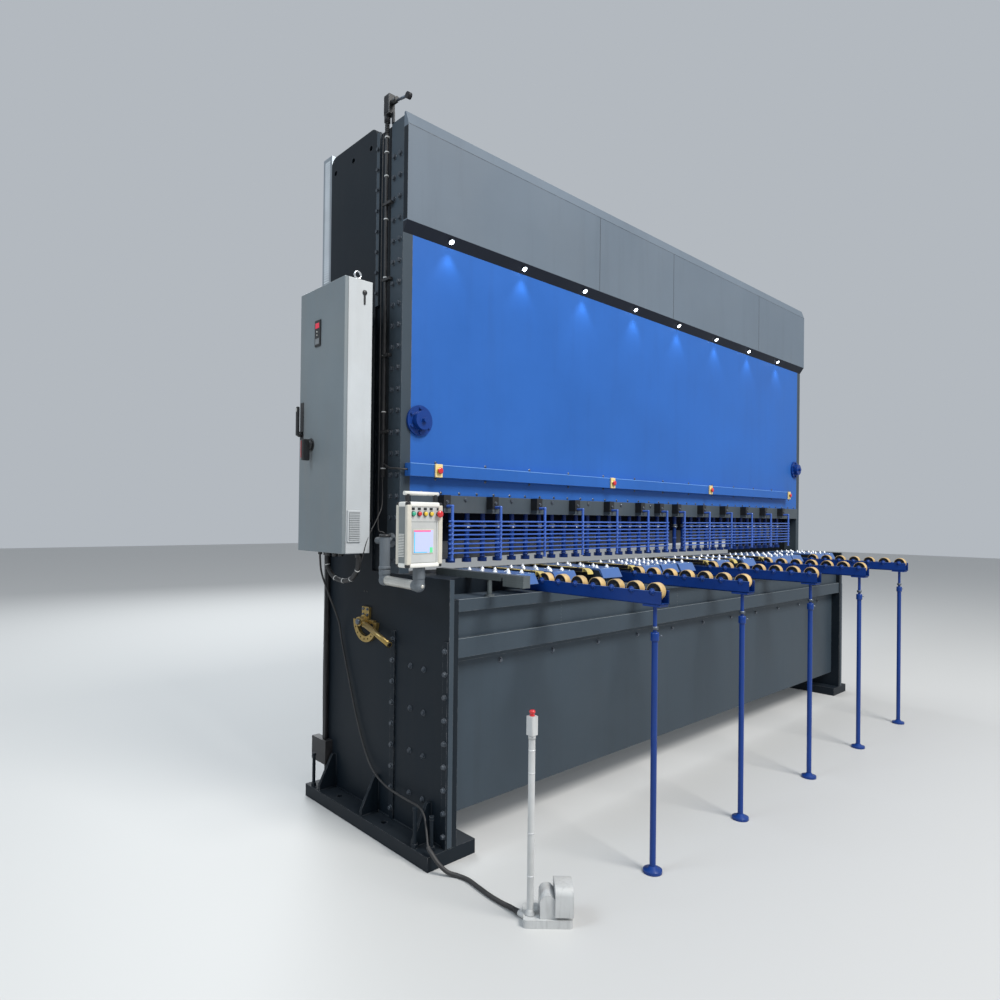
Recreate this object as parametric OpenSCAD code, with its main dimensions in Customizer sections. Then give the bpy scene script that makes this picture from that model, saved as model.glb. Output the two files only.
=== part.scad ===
// Hydraulic guillotine shear with a finger guard, roller support arms and a swing-out control panel.
// Millimetres. X runs along the blades, Y from the operator to the rear, Z up from the floor.

/* [Frame] */
// Width over the two side frames
frame_w = 4200; // [3900:50:4600]
// Depth of a side frame at the floor
frame_d = 1003; // [960:10:1100]
// Height of the side frames
frame_h = 3265; // [3200:10:3400]
// Thickness of the outer side plate
plate_t = 25; // [20:1:35]
// Thickness of the doubling plate behind the lower front edge
doubler_t = 25; // [20:1:35]
// Height of the step in front of the column
step_z = 1162; // [1150:1:1180]
// Distance from the front edge back to the column
column_y = 580; // [570:5:620]
// Radius of the column's top corners
corner_r = 45; // [20:5:80]
// Diameter of the lifting holes
lift_hole_d = 26; // [20:1:40]
// Thickness of a base plate
base_t = 60; // [40:5:80]
// Reach of a base plate outside the side plate
base_out = 98; // [90:1:120]
// Reach of a base plate inside the side plate
base_in = 154; // [120:2:180]
// Diameter of the anchor bolt holes
anchor_d = 28; // [20:1:36]
// Height of the base gussets
gusset_h = 165; // [120:5:220]
// Thickness of the base gussets
gusset_t = 16; // [10:1:25]

/* [Front] */
// Distance from the front edge back to the guide posts
post_y = 360; // [350:2:370]
// Width of a guide post
post_w = 54; // [50:1:70]
// Depth of a guide post
post_d = 97; // [90:1:110]
// Thickness of the front panel
panel_t = 12; // [8:1:20]
// Lower edge of the front panel
panel_z = 1522; // [1515:1:1530]
// Depth of the fascia in front of the posts
fascia_d = 33; // [28:1:45]
// Drop from the top of the side frames to the lower edge of the fascia's flat face
fascia_drop = 518; // [480:1:560]
// Height of the fascia's flat face
fascia_h = 430; // [380:5:450]
// Height of the leaning edge above and the lip below the flat face
fascia_lip = 47; // [30:1:55]
// Diameter of the lamps under the fascia
lamp_d = 34; // [25:1:45]
// Spacing of the lamps
lamp_pitch = 494; // [400:2:510]
// Height of the emergency stop rail
rail_h = 58; // [50:1:70]
// Lower edge of the emergency stop rail
rail_z = 1603; // [1590:1:1620]
// Depth of the emergency stop rail
rail_d = 44; // [30:1:50]
// Width of an emergency stop housing
stop_w = 42; // [36:1:60]
// Height of an emergency stop housing
stop_h = 62; // [50:1:72]
// Depth of an emergency stop housing
stop_d = 10; // [6:1:20]
// Diameter of the guide housings
housing_d = 140; // [120:5:160]

/* [Hold-down] */
// Height of the hold-down beam
beam_h = 82; // [70:1:100]
// Diameter of the hold-down rods
rod_d = 25; // [20:1:30]
// Spacing of the hold-down rods
rod_pitch = 104; // [100:1:110]
// Diameter of a hold-down foot
foot_d = 48; // [36:1:60]
// Travel of the hold-downs
hold_travel = 26; // [10:1:28]
// Gap between the feet and the table
foot_gap = 34; // [32:1:45]

/* [Guard] */
// Distance from the front edge back to the guard
guard_y = 266; // [255:1:280]
// Diameter of a guard post
guard_post_d = 14; // [12:1:18]
// Diameter of a guard bar
guard_bar_d = 8; // [6:1:10]
// Spacing of the guard bars
guard_pitch = 21; // [18:0.5:24]
// Number of guard bars
guard_bars = 8; // [4:1:8]

/* [Table] */
// Height of the table surface
table_z = 1165; // [1160:1:1190]
// Depth of the lower blade
blade_t = 28; // [20:1:35]
// Height of the lower blade
blade_h = 80; // [60:1:100]
// Gap between the blades
blade_gap = 2; // [1:0.5:4]
// Rise of the upper blade from the left end to the right end
blade_rake = 90; // [40:5:110]
// Opening between the blades at the left end
blade_open = 38; // [30:1:60]
// Travel of the ram
ram_travel = 150; // [140:5:180]
// Thickness of the ram
ram_t = 74; // [60:1:76]
// Reach of the ball plates in front of the frame
flap_out = 25; // [15:1:30]
// Thickness of the ball plates above the table
plate_rise = 15; // [10:1:20]

/* [Roller arms] */
// Reach of the arms in front of the frame
arm_reach = 640; // [600:10:640]
// Width of an arm
arm_w = 60; // [50:1:70]
// Height of an arm
arm_h = 55; // [45:1:58]
// Wall of an arm
arm_wall = 5; // [3:0.5:8]
// Diameter of the wheels
wheel_d = 72; // [60:1:76]
// Width of the wheels
wheel_w = 36; // [20:1:38]
// Spacing of the wheels
wheel_pitch = 100; // [90:1:102]
// Number of wheels on an arm
wheel_count = 7; // [4:1:7]
// Diameter of a leg
leg_d = 25; // [20:1:32]
// Diameter of a leg's foot
leg_foot_d = 76; // [60:2:90]

/* [Cabinet and panel] */
// Height of the electrical cabinet
cab_h = 1205; // [1000:5:1250]
// Width of the electrical cabinet
cab_w = 400; // [360:5:420]
// Depth of the electrical cabinet
cab_d = 140; // [120:5:160]
// Height of the cabinet's underside
cab_z = 1255; // [1250:5:1300]
// Gap between the cabinet and the side frame
cab_gap = 110; // [100:1:130]
// Thickness of the cabinet door
door_t = 18; // [12:1:25]
// Width of the control panel
hmi_w = 177; // [160:1:185]
// Height of the control panel
hmi_h = 260; // [220:5:280]
// Depth of the control panel
hmi_d = 80; // [60:1:85]
// Diameter of the control panel's arm tube
tube_d = 41; // [34:1:46]

/* [Hidden] */
$fn = 32;

slide_clear = 5;
knob_out = 45;
anchor_y = frame_d * [0.38, 0.76];
cover_t = 12;
sheet_t = 12;
tray_d = 85;
tray_w = 40;
tray_wall = 3;
tray_top = frame_h + 25;
post_top = frame_h - 25;
fascia_z = frame_h - fascia_drop;
fascia_lean = 22;
cover_z = post_top - 15;
rear_y = frame_d - 55;
rear_z = step_z + 338;
rear_beam_z = base_t + 140;
rear_beam_h = 300;
rear_beam_d = 80;
tray_z = step_z + 938;
strip_z = [rear_z + 910, post_top - 10];
axle_d = 12;
axle_gap = 0.3;
x_low = -(cab_gap + cab_d + knob_out);
x_high = frame_w + base_out;
y_low = -arm_reach;
y_high = frame_d + tray_d;
mid_x = (x_low + x_high) / 2;
mid_y = (y_low + y_high) / 2;

inner_x = plate_t + doubler_t;
liner_x = 12;
gusset_set = 6;
gusset_toe = 28;
gusset_flat = 22;
strap_w = 30;
strap_t = 8;
strap_top = step_z - 256;
span_w = frame_w - 2 * inner_x;
beam_z = panel_z - beam_h;
beam_y = post_y - 10;
beam_d = post_d + 5;
rod_y = post_y + 45;
guard_x_left = frame_w * [0.0545, 0.1279, 0.2038, 0.2774, 0.3521, 0.4274, 0.4771];
guard_x_right = frame_w * [0.5264, 0.6026, 0.676, 0.7502, 0.825, 0.8995];
rod_x0 = guard_x_left[0];
rod_count = floor((frame_w - 2 * rod_x0) / rod_pitch) + 1;
rod_left_up = 24;
rod_bore = hold_travel + rod_left_up;
foot_h = 20;
foot_z = table_z + foot_gap;
blade_y = post_y + 110;
cut_y = blade_y + blade_gap;
ram_y = cut_y + 4;
ram_z = table_z + blade_open + 30;
ram_top = cover_z - 325;
ram_x = inner_x - 12;
ram_w = frame_w - 2 * ram_x;
upper_blade_h = 90;
blade_drop = 30;
blade_seat = 0.2;
function blade_low(x) = ram_z - blade_drop + blade_rake * (x - ram_x) / ram_w;
upper_blade_t = 26;
cylinder_x = 420;
cylinder_d = 90;
barrel_gap = slide_clear + 20;
barrel_l = cover_z - ram_top - barrel_gap;
rod_left_in = 95;
bed_y = 160;
bed_z = 860;
bar_x = 240;
bar_w = 40;
bar_y = [-70, 370];
prop_y = 20;
ledge_top = 1078;
ledge_h = 51;
band_top = 914;
band_bottom = 834;
apron_y = 62;
apron_bottom = 170;
arm_x = frame_w * [0.1393, 0.3131, 0.5, 0.6774, 0.8619];
arm_inner_y = 150;
wheel_z = 1130;
wheel_y = 3;
leg_y = 47 - arm_reach;
leg_tube_h = 960;
leg_plate_l = 80;
strip_x = frame_w * [0.1393, 0.2214, 0.3131, 0.5, 0.5786, 0.6774];
strip_w = 46;
plate_w = 155;
ball_dx = 42;
ball_d = 9;
ball_seat_d = 24;
ball_cone_h = 9;
plate_share = [0.1012, 0.1679, 0.2524, 0.3417, 0.3829, 0.425, 0.5298, 0.6095, 0.706, 0.7464, 0.7869, 0.8905, 0.9321];
plate_x = frame_w * plate_share;
guard_bar_z = 1253;
guard_post_z = 1219;
crank_z = 1470;
stop_x = frame_w * [0.0431, 0.3552, 0.6243, 0.9271];
housing_x = 100;
housing_z = step_z + 697;
housing_l = 42;
flange_t = 12;
pin_out = 16;
pin_d = 22;
rail_x = plate_t;
rail_w = frame_w - 295;
stop_z = rail_z + rail_h / 2;
shank_d = 19;
shank_l = 6;
cap_d = 30;
cap_h = 9;
lamp_x = 266;
lamp_count = floor((frame_w - 2 * lamp_x) / lamp_pitch) + 1;
door_gap = 0.3;
cab_x = -(cab_gap + cab_d);
cab_y = 430;
isolator_at = [716, 1745];
handle_at = [805, 1800];
handle_out = 30;
handle_l = 130;
elbow = [-80, 355];
coupling = [-120, 50];
arm_z = step_z - 22;
arm_gap = 0.3;
elbow_d = tube_d + 6;
arm_l = norm(elbow - coupling);
arm_turn = atan2(coupling[0] - elbow[0], elbow[1] - coupling[1]);
hmi_z = 1218;
hmi_x = -216;
hmi_r = 13;
hub = [612, 924];
pedal_at = [27, -530];
pedal_turn = -43;
pedal_l = 173;
pedal_w = 110;
pedal_t = 28;
pedal_r = 12;
works_x = [-28, 26];
works_w = 90;
works_z = 83;
hood_x = [24, 88];
hood_z = [38, 136];
hood_r = 24;
hood_wall = 6;
treadle = [[20, 27], [84, 27], [84, 36], [26, 62], [20, 62]];
gland_d = 22;
gland_x = -32;
gland_y = [-480, -450];
stand_at = [-61, -15];
stand_d = 24;
stand_h = 630;
head_w = 32;
head_h = 66;
head_cap_d = 22;
head_cap_h = 16;
head_neck = 6;
cable_d = 9;
sleeve_d = 18;
sleeve_from = 34;
cable_path = [[-150, 800, 1254.7], [-150, 800, 1235], [-150, 800, 1215], [-138, 804, 1140], [-90, 814, 1030],
    [-30, 826, 900], [-14, 820, 800], [-14, 747, 620], [-14, 670, 443], [-16, 590, 310], [-26, 505, 246],
    [-34, 400, 216], [-38, 300, 208], [-40, 210, 206], [-42, 130, 204], [-50, 85, 180], [-66, 48, 130], [-80, 20, 92],
    [-84, -10, 76], [-76, -40, 48], [-54, -72, 18], [-30, -108, 9.5], [-20, -160, 9.5], [-26, -230, 9.5],
    [-32, -300, 9.5], [-32, -355, 10], [-32, -395, 13], [-32, -412, 14], [-32, -430, 14], [-32, -449.7, 14]];
loop_d = 22;
loop_path = [[-150, 735, 1254.7], [-150, 735, 1240], [-150, 735, 1225], [-147, 728, 1180], [-140, 695, 1138],
    [-134, 645, 1122], [-132, 590, 1122], [-136, 530, 1138], [-142, 478, 1178], [-146, 462, 1225],
    [-146, 460, 1240], [-146, 460, 1254.7]];

// Moves the machine so that the middle of its footprint is the origin
module placed() { translate([-mid_x, -mid_y, 0]) children(); }

// Extrudes an outline in Y and Z along X
module along_x(x, w) { translate([x, 0, 0]) rotate([90, 0, 90]) linear_extrude(w) children(); }

// Mirrors a piece to the machine's right side
module to_right() { translate([frame_w, 0, 0]) mirror([1, 0, 0]) children(); }

// Cylinder along X
module rod_x(p, d, l) { translate(p) rotate([0, 90, 0]) cylinder(d = d, h = l); }

// Cylinder along Y
module rod_along_y(p, d, l) { translate(p) rotate([-90, 0, 0]) cylinder(d = d, h = l); }

module side_outline() {
    difference() {
        union() {
            translate([0, base_t]) square([frame_d, step_z - base_t]);
            translate([column_y, base_t]) square([frame_d - column_y, frame_h - corner_r - base_t]);
            translate([column_y + corner_r, base_t]) square([frame_d - column_y - 2 * corner_r, frame_h - base_t]);
            translate([column_y + corner_r, frame_h - corner_r]) circle(corner_r);
            translate([frame_d - corner_r, frame_h - corner_r]) circle(corner_r);
        }
        for (y = [column_y + 52, (column_y + frame_d) / 2, frame_d - 40])
            translate([y, frame_h - 84]) circle(d = lift_hole_d);
    }
}

module side_frame() {
    color("#3f454b") {
        along_x(0, plate_t) side_outline();
        along_x(plate_t, doubler_t) translate([0, base_t]) square([blade_y - 10, ledge_top - base_t]);
        for (y = [strap_w / 2, post_y + strap_w])
            translate([-strap_t, y - strap_w / 2, base_t]) cube([strap_t, strap_w, strap_top - base_t]);
        translate([liner_x, post_y + post_d, step_z])
            cube([plate_t - liner_x, column_y - post_y - post_d, cover_z - step_z]);
    }
}
module side_frame_left() { placed() side_frame(); }
module side_frame_right() { placed() to_right() side_frame(); }

module base_plate() {
    color("#33383d") difference() {
        union() {
            translate([-base_out, 0, 0]) cube([base_out + base_in, frame_d + 10, base_t]);
            for (y = frame_d * [0.111, 0.504, 0.886])
                translate([0, y + gusset_t / 2, base_t]) rotate([90, 0, 0])
                    linear_extrude(gusset_t) polygon([[0, 0], [-base_out + gusset_set, 0],
                        [-base_out + gusset_set, gusset_toe], [-gusset_flat, gusset_h], [0, gusset_h]]);
        }
        for (x = [-base_out / 2, inner_x + 55]) for (y = anchor_y)
            translate([x, y, -1]) cylinder(d = anchor_d, h = base_t + 2);
    }
    color("#c9c4b4") for (q = [[-84, 105, 150], [-48, 40, 125], [-80, frame_d - 40, 150]])
        translate([q[0], q[1], base_t]) {
            cylinder(d = 16, h = q[2]);
            cylinder(d = 28, h = 16, $fn = 6);
            translate([0, 0, q[2]]) cylinder(d = 20, h = 14);
        }
}
module base_plate_left() { placed() base_plate(); }
module base_plate_right() { placed() to_right() base_plate(); }

module guide_post() {
    color("#3b4147") translate([0, post_y, step_z]) cube([post_w, post_d, cover_z - step_z]);
    color("#3b4147") translate([0, column_y - 25, strip_z[0]]) cube([liner_x, 25, strip_z[1] - strip_z[0]]);
}
module guide_post_left() { placed() guide_post(); }
module guide_post_right() { placed() to_right() guide_post(); }

module fascia_cover() {
    placed() color("#4a5056") along_x(0, frame_w) polygon([
        [post_y, fascia_z - fascia_lip], [post_y - fascia_d, fascia_z], [post_y - fascia_d, fascia_z + fascia_h],
        [post_y - fascia_d + fascia_lean, post_top], [post_y, post_top]]);
}

module fascia_lamps() {
    lean = atan2(fascia_d, fascia_lip);
    placed() color("white") for (i = [0 : lamp_count - 1])
        translate([lamp_x + i * lamp_pitch, post_y - fascia_d / 2, fascia_z - fascia_lip / 2])
            rotate([90 + lean, 0, 0]) cylinder(d = lamp_d, h = 8);
}

module top_cover() {
    placed() color("#3b4147") translate([plate_t, post_y + panel_t, cover_z])
        cube([frame_w - 2 * plate_t, rear_y + sheet_t - post_y - panel_t, cover_t]);
}

module rear_panel() {
    placed() color("#3b4147") translate([plate_t, rear_y, rear_z])
        cube([frame_w - 2 * plate_t, sheet_t, cover_z - rear_z]);
}

module rear_cross_beam() {
    placed() color("#3b4147") translate([plate_t, frame_d - 70 - rear_beam_d, rear_beam_z])
        cube([frame_w - 2 * plate_t, rear_beam_d, rear_beam_h]);
}

module front_panel() {
    placed() color("#2f5fb8") translate([post_w, post_y, panel_z])
        cube([frame_w - 2 * post_w, panel_t, cover_z - panel_z]);
}

module guide_housings() {
    placed() color("#27519f") for (x = [housing_x, frame_w - housing_x]) {
        rod_along_y([x, post_y - flange_t, housing_z], housing_d, flange_t);
        rod_along_y([x, post_y - housing_l, housing_z], housing_d * 0.62, housing_l - flange_t + 1);
        rod_along_y([x, post_y - housing_l - pin_out, housing_z], pin_d, pin_out + 1);
    }
}

module emergency_stop_rail() {
    placed() color("#2f62c0") translate([rail_x, post_y - rail_d, rail_z]) cube([rail_w, rail_d, rail_h]);
}

module emergency_stop_boxes() {
    placed() color("#efe3b8") for (x = stop_x)
        translate([x - stop_w / 2, post_y - rail_d - stop_d, stop_z - stop_h / 2]) cube([stop_w, stop_d, stop_h]);
}

module emergency_stop_buttons() {
    placed() color("#c8202a") for (x = stop_x) {
        rod_along_y([x, post_y - rail_d - stop_d - shank_l, stop_z], shank_d, shank_l);
        rod_along_y([x, post_y - rail_d - stop_d - shank_l - cap_h, stop_z], cap_d, cap_h);
    }
}

module hold_down_beam() {
    placed() color("#34393f") difference() {
        union() {
            translate([post_w, beam_y, beam_z]) cube([frame_w - 2 * post_w, beam_d, beam_h]);
            for (x = concat(guard_x_left, guard_x_right)) translate([x - 20, beam_y - 46, beam_z + 4]) cube([40, 47, 62]);
        }
        for (i = [0 : rod_count - 1]) translate([rod_x0 + i * rod_pitch, rod_y, beam_z - 1])
            cylinder(d = rod_d + 1.5, h = rod_bore + 11);
    }
}

module hold_down_rods() {
    placed() color("#2b4f95") for (i = [0 : rod_count - 1]) translate([rod_x0 + i * rod_pitch, rod_y, foot_z]) {
        cylinder(d = foot_d, h = foot_h);
        cylinder(d = rod_d, h = beam_z + rod_bore - foot_z);
    }
}

module guard(xs) {
    color("#2d5cb4") {
        for (x = xs) {
            translate([x, guard_y, guard_post_z]) cylinder(d = guard_post_d, h = crank_z - guard_post_z);
            rod_along_y([x, guard_y, crank_z], guard_post_d, beam_y - 46 - guard_y);
        }
        first = xs[0];
        last = xs[len(xs) - 1];
        for (k = [0 : guard_bars - 1])
            translate([first - 20, guard_y, guard_bar_z + k * guard_pitch]) rotate([0, 90, 0])
                cylinder(d = guard_bar_d, h = last - first + 40, $fn = 8);
    }
}
module guard_left() { placed() guard(guard_x_left); }
module guard_right() { placed() guard(guard_x_right); }

module front_ledge() {
    placed() color("#3f454b") translate([inner_x, 0, ledge_top - ledge_h]) cube([span_w, bed_y, ledge_h]);
}

module front_band() {
    placed() color("#3f454b") along_x(inner_x, span_w) polygon([
        [apron_y + 20, band_bottom - 29], [apron_y, band_bottom - 29], [apron_y, band_bottom], [5, band_bottom],
        [5, band_top], [28, band_top], [28, ledge_top - ledge_h], [apron_y + 20, ledge_top - ledge_h]]);
}

module front_apron() {
    placed() color("#3f454b") translate([inner_x, apron_y, apron_bottom])
        cube([span_w, 20, band_bottom - 29 - apron_bottom]);
}

module table_bed() {
    placed() color("#383e44") difference() {
        translate([inner_x, bed_y, bed_z]) cube([span_w, blade_y - bed_y, table_z - plate_rise - bed_z]);
        translate([inner_x - 1, blade_y - blade_t, table_z - blade_h]) cube([span_w + 2, blade_t + 1, blade_h + 1]);
    }
}

module lower_blade() {
    placed() color("#b9bec4") translate([inner_x + 10, blade_y - blade_t, table_z - blade_h])
        cube([span_w - 20, blade_t, blade_h]);
}

module ram() {
    placed() color("#22427f") {
        difference() {
            translate([0, ram_y + ram_t, 0]) rotate([90, 0, 0]) linear_extrude(ram_t) polygon([
                [ram_x, ram_z], [ram_x + ram_w, ram_z + blade_rake], [ram_x + ram_w, ram_top], [ram_x, ram_top]]);
            translate([0, cut_y + upper_blade_t + blade_seat, 0]) rotate([90, 0, 0])
                linear_extrude(upper_blade_t + blade_seat) polygon([
                [ram_x - 1, blade_low(ram_x - 1)], [ram_x + ram_w + 1, blade_low(ram_x + ram_w + 1)],
                [ram_x + ram_w + 1, blade_low(ram_x + ram_w + 1) + upper_blade_h + blade_seat],
                [ram_x - 1, blade_low(ram_x - 1) + upper_blade_h + blade_seat]]);
        }
        for (x = [cylinder_x, frame_w - cylinder_x])
            translate([x, ram_y + ram_t / 2, ram_top - 20])
                cylinder(d = cylinder_d - 32, h = 20 + barrel_gap + rod_left_in + ram_travel);
    }
}

module upper_blade() {
    left = inner_x + 10;
    right = frame_w - inner_x - 10;
    placed() color("#b9bec4") translate([0, cut_y + upper_blade_t, 0]) rotate([90, 0, 0])
        linear_extrude(upper_blade_t) polygon([[left, blade_low(left)], [right, blade_low(right)],
            [right, blade_low(right) + upper_blade_h], [left, blade_low(left) + upper_blade_h]]);
}

module ram_cylinders() {
    placed() color("#5a6066") for (x = [cylinder_x, frame_w - cylinder_x])
        translate([x, ram_y + ram_t / 2, cover_z - barrel_l]) difference() {
            cylinder(d = cylinder_d, h = barrel_l);
            translate([0, 0, -1]) cylinder(d = cylinder_d - 31, h = barrel_l - 15);
        }
}

module squaring_arm() {
    placed() color("#8f959b") {
        translate([bar_x - bar_w / 2, bar_y[0], table_z - plate_rise]) cube([bar_w, bar_y[1] - bar_y[0], 2 * plate_rise]);
        translate([bar_x - bar_w / 2, bar_y[0] - 135, table_z - plate_rise - 20]) cube([bar_w, 122, 50]);
        rod_along_y([bar_x, bar_y[0] - 14, table_z], 14, 15);
        translate([bar_x, prop_y, ledge_top]) cylinder(d = 22, h = table_z - plate_rise - ledge_top);
        translate([bar_x, prop_y, ledge_top]) cylinder(d = 44, h = 8);
    }
}

module arm_channel(x) {
    placed() color("#2b4fa8") difference() {
        translate([x - arm_w / 2, -arm_reach, ledge_top]) cube([arm_w, arm_reach + arm_inner_y, arm_h]);
        translate([x - arm_w / 2 + arm_wall, -arm_reach + arm_wall, ledge_top + arm_wall])
            cube([arm_w - 2 * arm_wall, arm_reach + arm_inner_y, arm_h]);
        for (k = [0 : wheel_count - 1])
            rod_x([x - arm_w / 2 - 1, wheel_y - k * wheel_pitch, wheel_z], axle_d + 2 * axle_gap, arm_w + 2);
    }
}
module arm_channel_1() { arm_channel(arm_x[0]); }
module arm_channel_2() { arm_channel(arm_x[1]); }
module arm_channel_3() { arm_channel(arm_x[2]); }
module arm_channel_4() { arm_channel(arm_x[3]); }
module arm_channel_5() { arm_channel(arm_x[4]); }

module arm_wheels() {
    placed() color("#e0b458") for (x = arm_x) for (k = [0 : wheel_count - 1])
        difference() {
            rod_x([x - wheel_w / 2, wheel_y - k * wheel_pitch, wheel_z], wheel_d, wheel_w);
            rod_x([x - wheel_w / 2 - 1, wheel_y - k * wheel_pitch, wheel_z], axle_d + 2 * axle_gap, wheel_w + 2);
        }
}

module arm_axles() {
    placed() color("#c9ced3") for (x = arm_x) for (k = [0 : wheel_count - 1])
        rod_x([x - arm_w / 2 - 8, wheel_y - k * wheel_pitch, wheel_z], axle_d, arm_w + 16);
}

module arm_legs() {
    placed() color("#2b4fa8") for (x = arm_x) translate([x, leg_y, 0]) {
        cylinder(d = leg_foot_d, h = 12);
        cylinder(d = leg_d, h = leg_tube_h);
        cylinder(d = leg_d - 9, h = ledge_top - 6);
        translate([-arm_w / 2, -leg_plate_l / 2, ledge_top - 8]) cube([arm_w, leg_plate_l, 8]);
    }
}

module ball_plates() {
    placed() color("#3d6fb5") for (x = plate_x) along_x(x - plate_w / 2, plate_w) polygon([
        [-flap_out, table_z - 45], [-flap_out + 8, table_z - 48], [8, table_z - 8], [bed_y, table_z - 8],
        [bed_y, table_z - plate_rise], [400, table_z - plate_rise], [400, table_z], [0, table_z]]);
}

module ball_units() {
    placed() color("#d9dcdf") for (x = plate_x) for (dx = [-ball_dx, ball_dx]) for (y = [50 : 90 : 320])
        translate([x + dx, y, table_z]) {
            cylinder(d = ball_seat_d, h = 4);
            translate([0, 0, 4]) cylinder(d1 = ball_seat_d - 3, d2 = ball_d + 3, h = ball_cone_h);
            translate([0, 0, 4 + ball_cone_h + 0.3]) sphere(d = ball_d);
        }
}

module slide_strips() {
    placed() color("#e6c04a") for (x = strip_x) translate([x - strip_w / 2, 50, table_z - plate_rise])
        cube([strip_w, 370, plate_rise + 3]);
}

module cabinet_body() {
    placed() color("#d3d6d8") {
        translate([-cab_gap - cab_d + door_t, cab_y, cab_z]) cube([cab_d - door_t, cab_w, cab_h]);
        for (y = [cab_y + 60, cab_y + cab_w - 60]) for (z = [cab_z + 120, cab_z + cab_h - 120])
            if (y > column_y) rod_x([-cab_gap, y, z], 34, cab_gap);
        for (z = [cab_z + 120, cab_z + cab_h - 120]) rod_x([-cab_gap, column_y + 40, z], 34, cab_gap);
    }
}

module cabinet_eye() {
    placed() color("#c9ced3") translate([-cab_gap - 52, cab_y + 42, cab_z + cab_h]) {
        cylinder(d = 26, h = 6);
        translate([0, 0, 5]) cylinder(d = 10, h = 12);
        translate([0, 0, 32]) rotate([90, 0, 0]) rotate_extrude() translate([16, 0]) circle(d = 8);
    }
}

module cabinet_door() {
    placed() color("#dadddf") translate([cab_x, cab_y, cab_z]) cube([door_t - door_gap, cab_w, cab_h]);
}

module isolator_knob() {
    placed() color("#c8202a") translate([cab_x - door_gap, isolator_at[0], isolator_at[1]]) rotate([0, -90, 0]) {
        cylinder(d = 50, h = 14);
        translate([-7, -22, 0]) cube([14, 44, knob_out - door_gap]);
    }
}

module door_handle() {
    placed() color("#2a2d30") translate([cab_x - door_gap, handle_at[0], handle_at[1]]) rotate([0, -90, 0]) {
        cylinder(d = 26, h = handle_out);
        translate([-8, -10, handle_out - 14]) cube([handle_l, 20, 14]);
    }
}

module panel_bracket() {
    placed() color("#cdbf9f") {
        translate([elbow[0], elbow[1], step_z + 24]) cylinder(d = 46, h = 150);
        rod_x([elbow[0], elbow[1] + 60, step_z + 150], 30, -elbow[0]);
        rod_along_y([elbow[0], elbow[1], step_z + 150], 30, 60);
    }
}

module panel_arm() {
    placed() color("#cdbf9f") {
        translate([elbow[0], elbow[1], arm_z]) rotate([90, 0, arm_turn])
            translate([0, 0, 30]) cylinder(d = tube_d, h = arm_l - 60);
    }
}

module arm_elbows() {
    placed() color("#4a5056") {
        translate([elbow[0], elbow[1], arm_z]) {
            sphere(d = elbow_d + 3);
            cylinder(d = elbow_d, h = step_z + 24 - arm_gap - arm_z);
            rotate([90, 0, arm_turn]) cylinder(d = elbow_d, h = 30);
        }
        translate([coupling[0], coupling[1], arm_z]) {
            sphere(d = elbow_d + 3);
            cylinder(d = elbow_d, h = hmi_z - arm_gap - arm_z);
            rotate([-90, 0, arm_turn]) cylinder(d = elbow_d, h = 30);
        }
    }
}

module control_panel() {
    placed() color("#d8d2c2") {
        translate([hmi_x, 0, hmi_z]) linear_extrude(hmi_h) difference() {
            union() {
                translate([hmi_r, 0]) square([hmi_w - 2 * hmi_r, hmi_d]);
                translate([0, hmi_r]) square([hmi_w, hmi_d - 2 * hmi_r]);
                for (x = [hmi_r, hmi_w - hmi_r]) for (y = [hmi_r, hmi_d - hmi_r]) translate([x, y]) circle(hmi_r);
            }
            translate([hmi_r + 2, -1]) square([hmi_w - 2 * hmi_r - 4, 5]);
            for (x = [-1, hmi_w - 4]) translate([x, hmi_r + 4]) square([5, hmi_d - 2 * hmi_r - 8]);
        }
        rod_x([hmi_x + 4, 30, hmi_z + hmi_h + 34], 16, hmi_w - 8);
        for (x = [hmi_x + 20, hmi_x + hmi_w - 20])
            translate([x, 30, hmi_z + hmi_h - 1]) cylinder(d = 14, h = 37);
    }
}

module gap_quadrant() {
    placed() color("#b98b3a") translate([0, hub[0], hub[1]]) rotate([0, -90, 0]) {
        cylinder(d = 60, h = 22);
        difference() {
            linear_extrude(16) difference() {
                circle(100);
                circle(72);
                translate([0, -110]) square([110, 220]);
            }
            for (a = [115 : 21 : 245]) rotate([0, 0, a]) translate([86, 0, -1]) cylinder(d = 9, h = 18);
        }
        translate([14, -30, 0]) cube([52, 60, 12]);
        linear_extrude(16) translate([-8, -74]) square([16, 148]);
    }
}

module gap_lever() {
    placed() color("#c79a45") translate([-22.3, hub[0], hub[1]]) rotate([18, 0, 0]) {
        rotate([0, -90, 0]) cylinder(d = 44, h = 26);
        rod_along_y([-13, -250, 0], 18, 240);
    }
}

module limit_switch() {
    placed() color("#2a2d30") {
        translate([-22, 400, cover_z]) cube([44, 57, 135]);
        rod_along_y([0, 330, post_top + 60], 12, 72);
        rod_along_y([0, 312, post_top + 60], 30, 18);
    }
}

module rear_cable_tray() {
    placed() color("#7d8388") difference() {
        translate([0, frame_d, tray_z]) cube([tray_w, tray_d, tray_top - tray_z]);
        translate([tray_wall, frame_d + tray_wall, tray_z - 1])
            cube([tray_w, tray_d - 2 * tray_wall, tray_top + 2 - tray_z]);
    }
}

module side_conduits() {
    placed() color("#1d1f21") {
        translate([-14, frame_d - 30, 270]) cylinder(d = 26, h = 985);
        translate([-40, frame_d - 80, 163]) cube([40, 138, 118]);
        translate([-9, post_y + post_d + 26, step_z + 440]) cylinder(d = 17, h = cover_z - step_z - 470);
        for (z = [step_z + 640 : 350 : cover_z - 100])
            translate([-20, post_y + post_d - 20, z]) cube([20, 60, 12]);
    }
}

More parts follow.
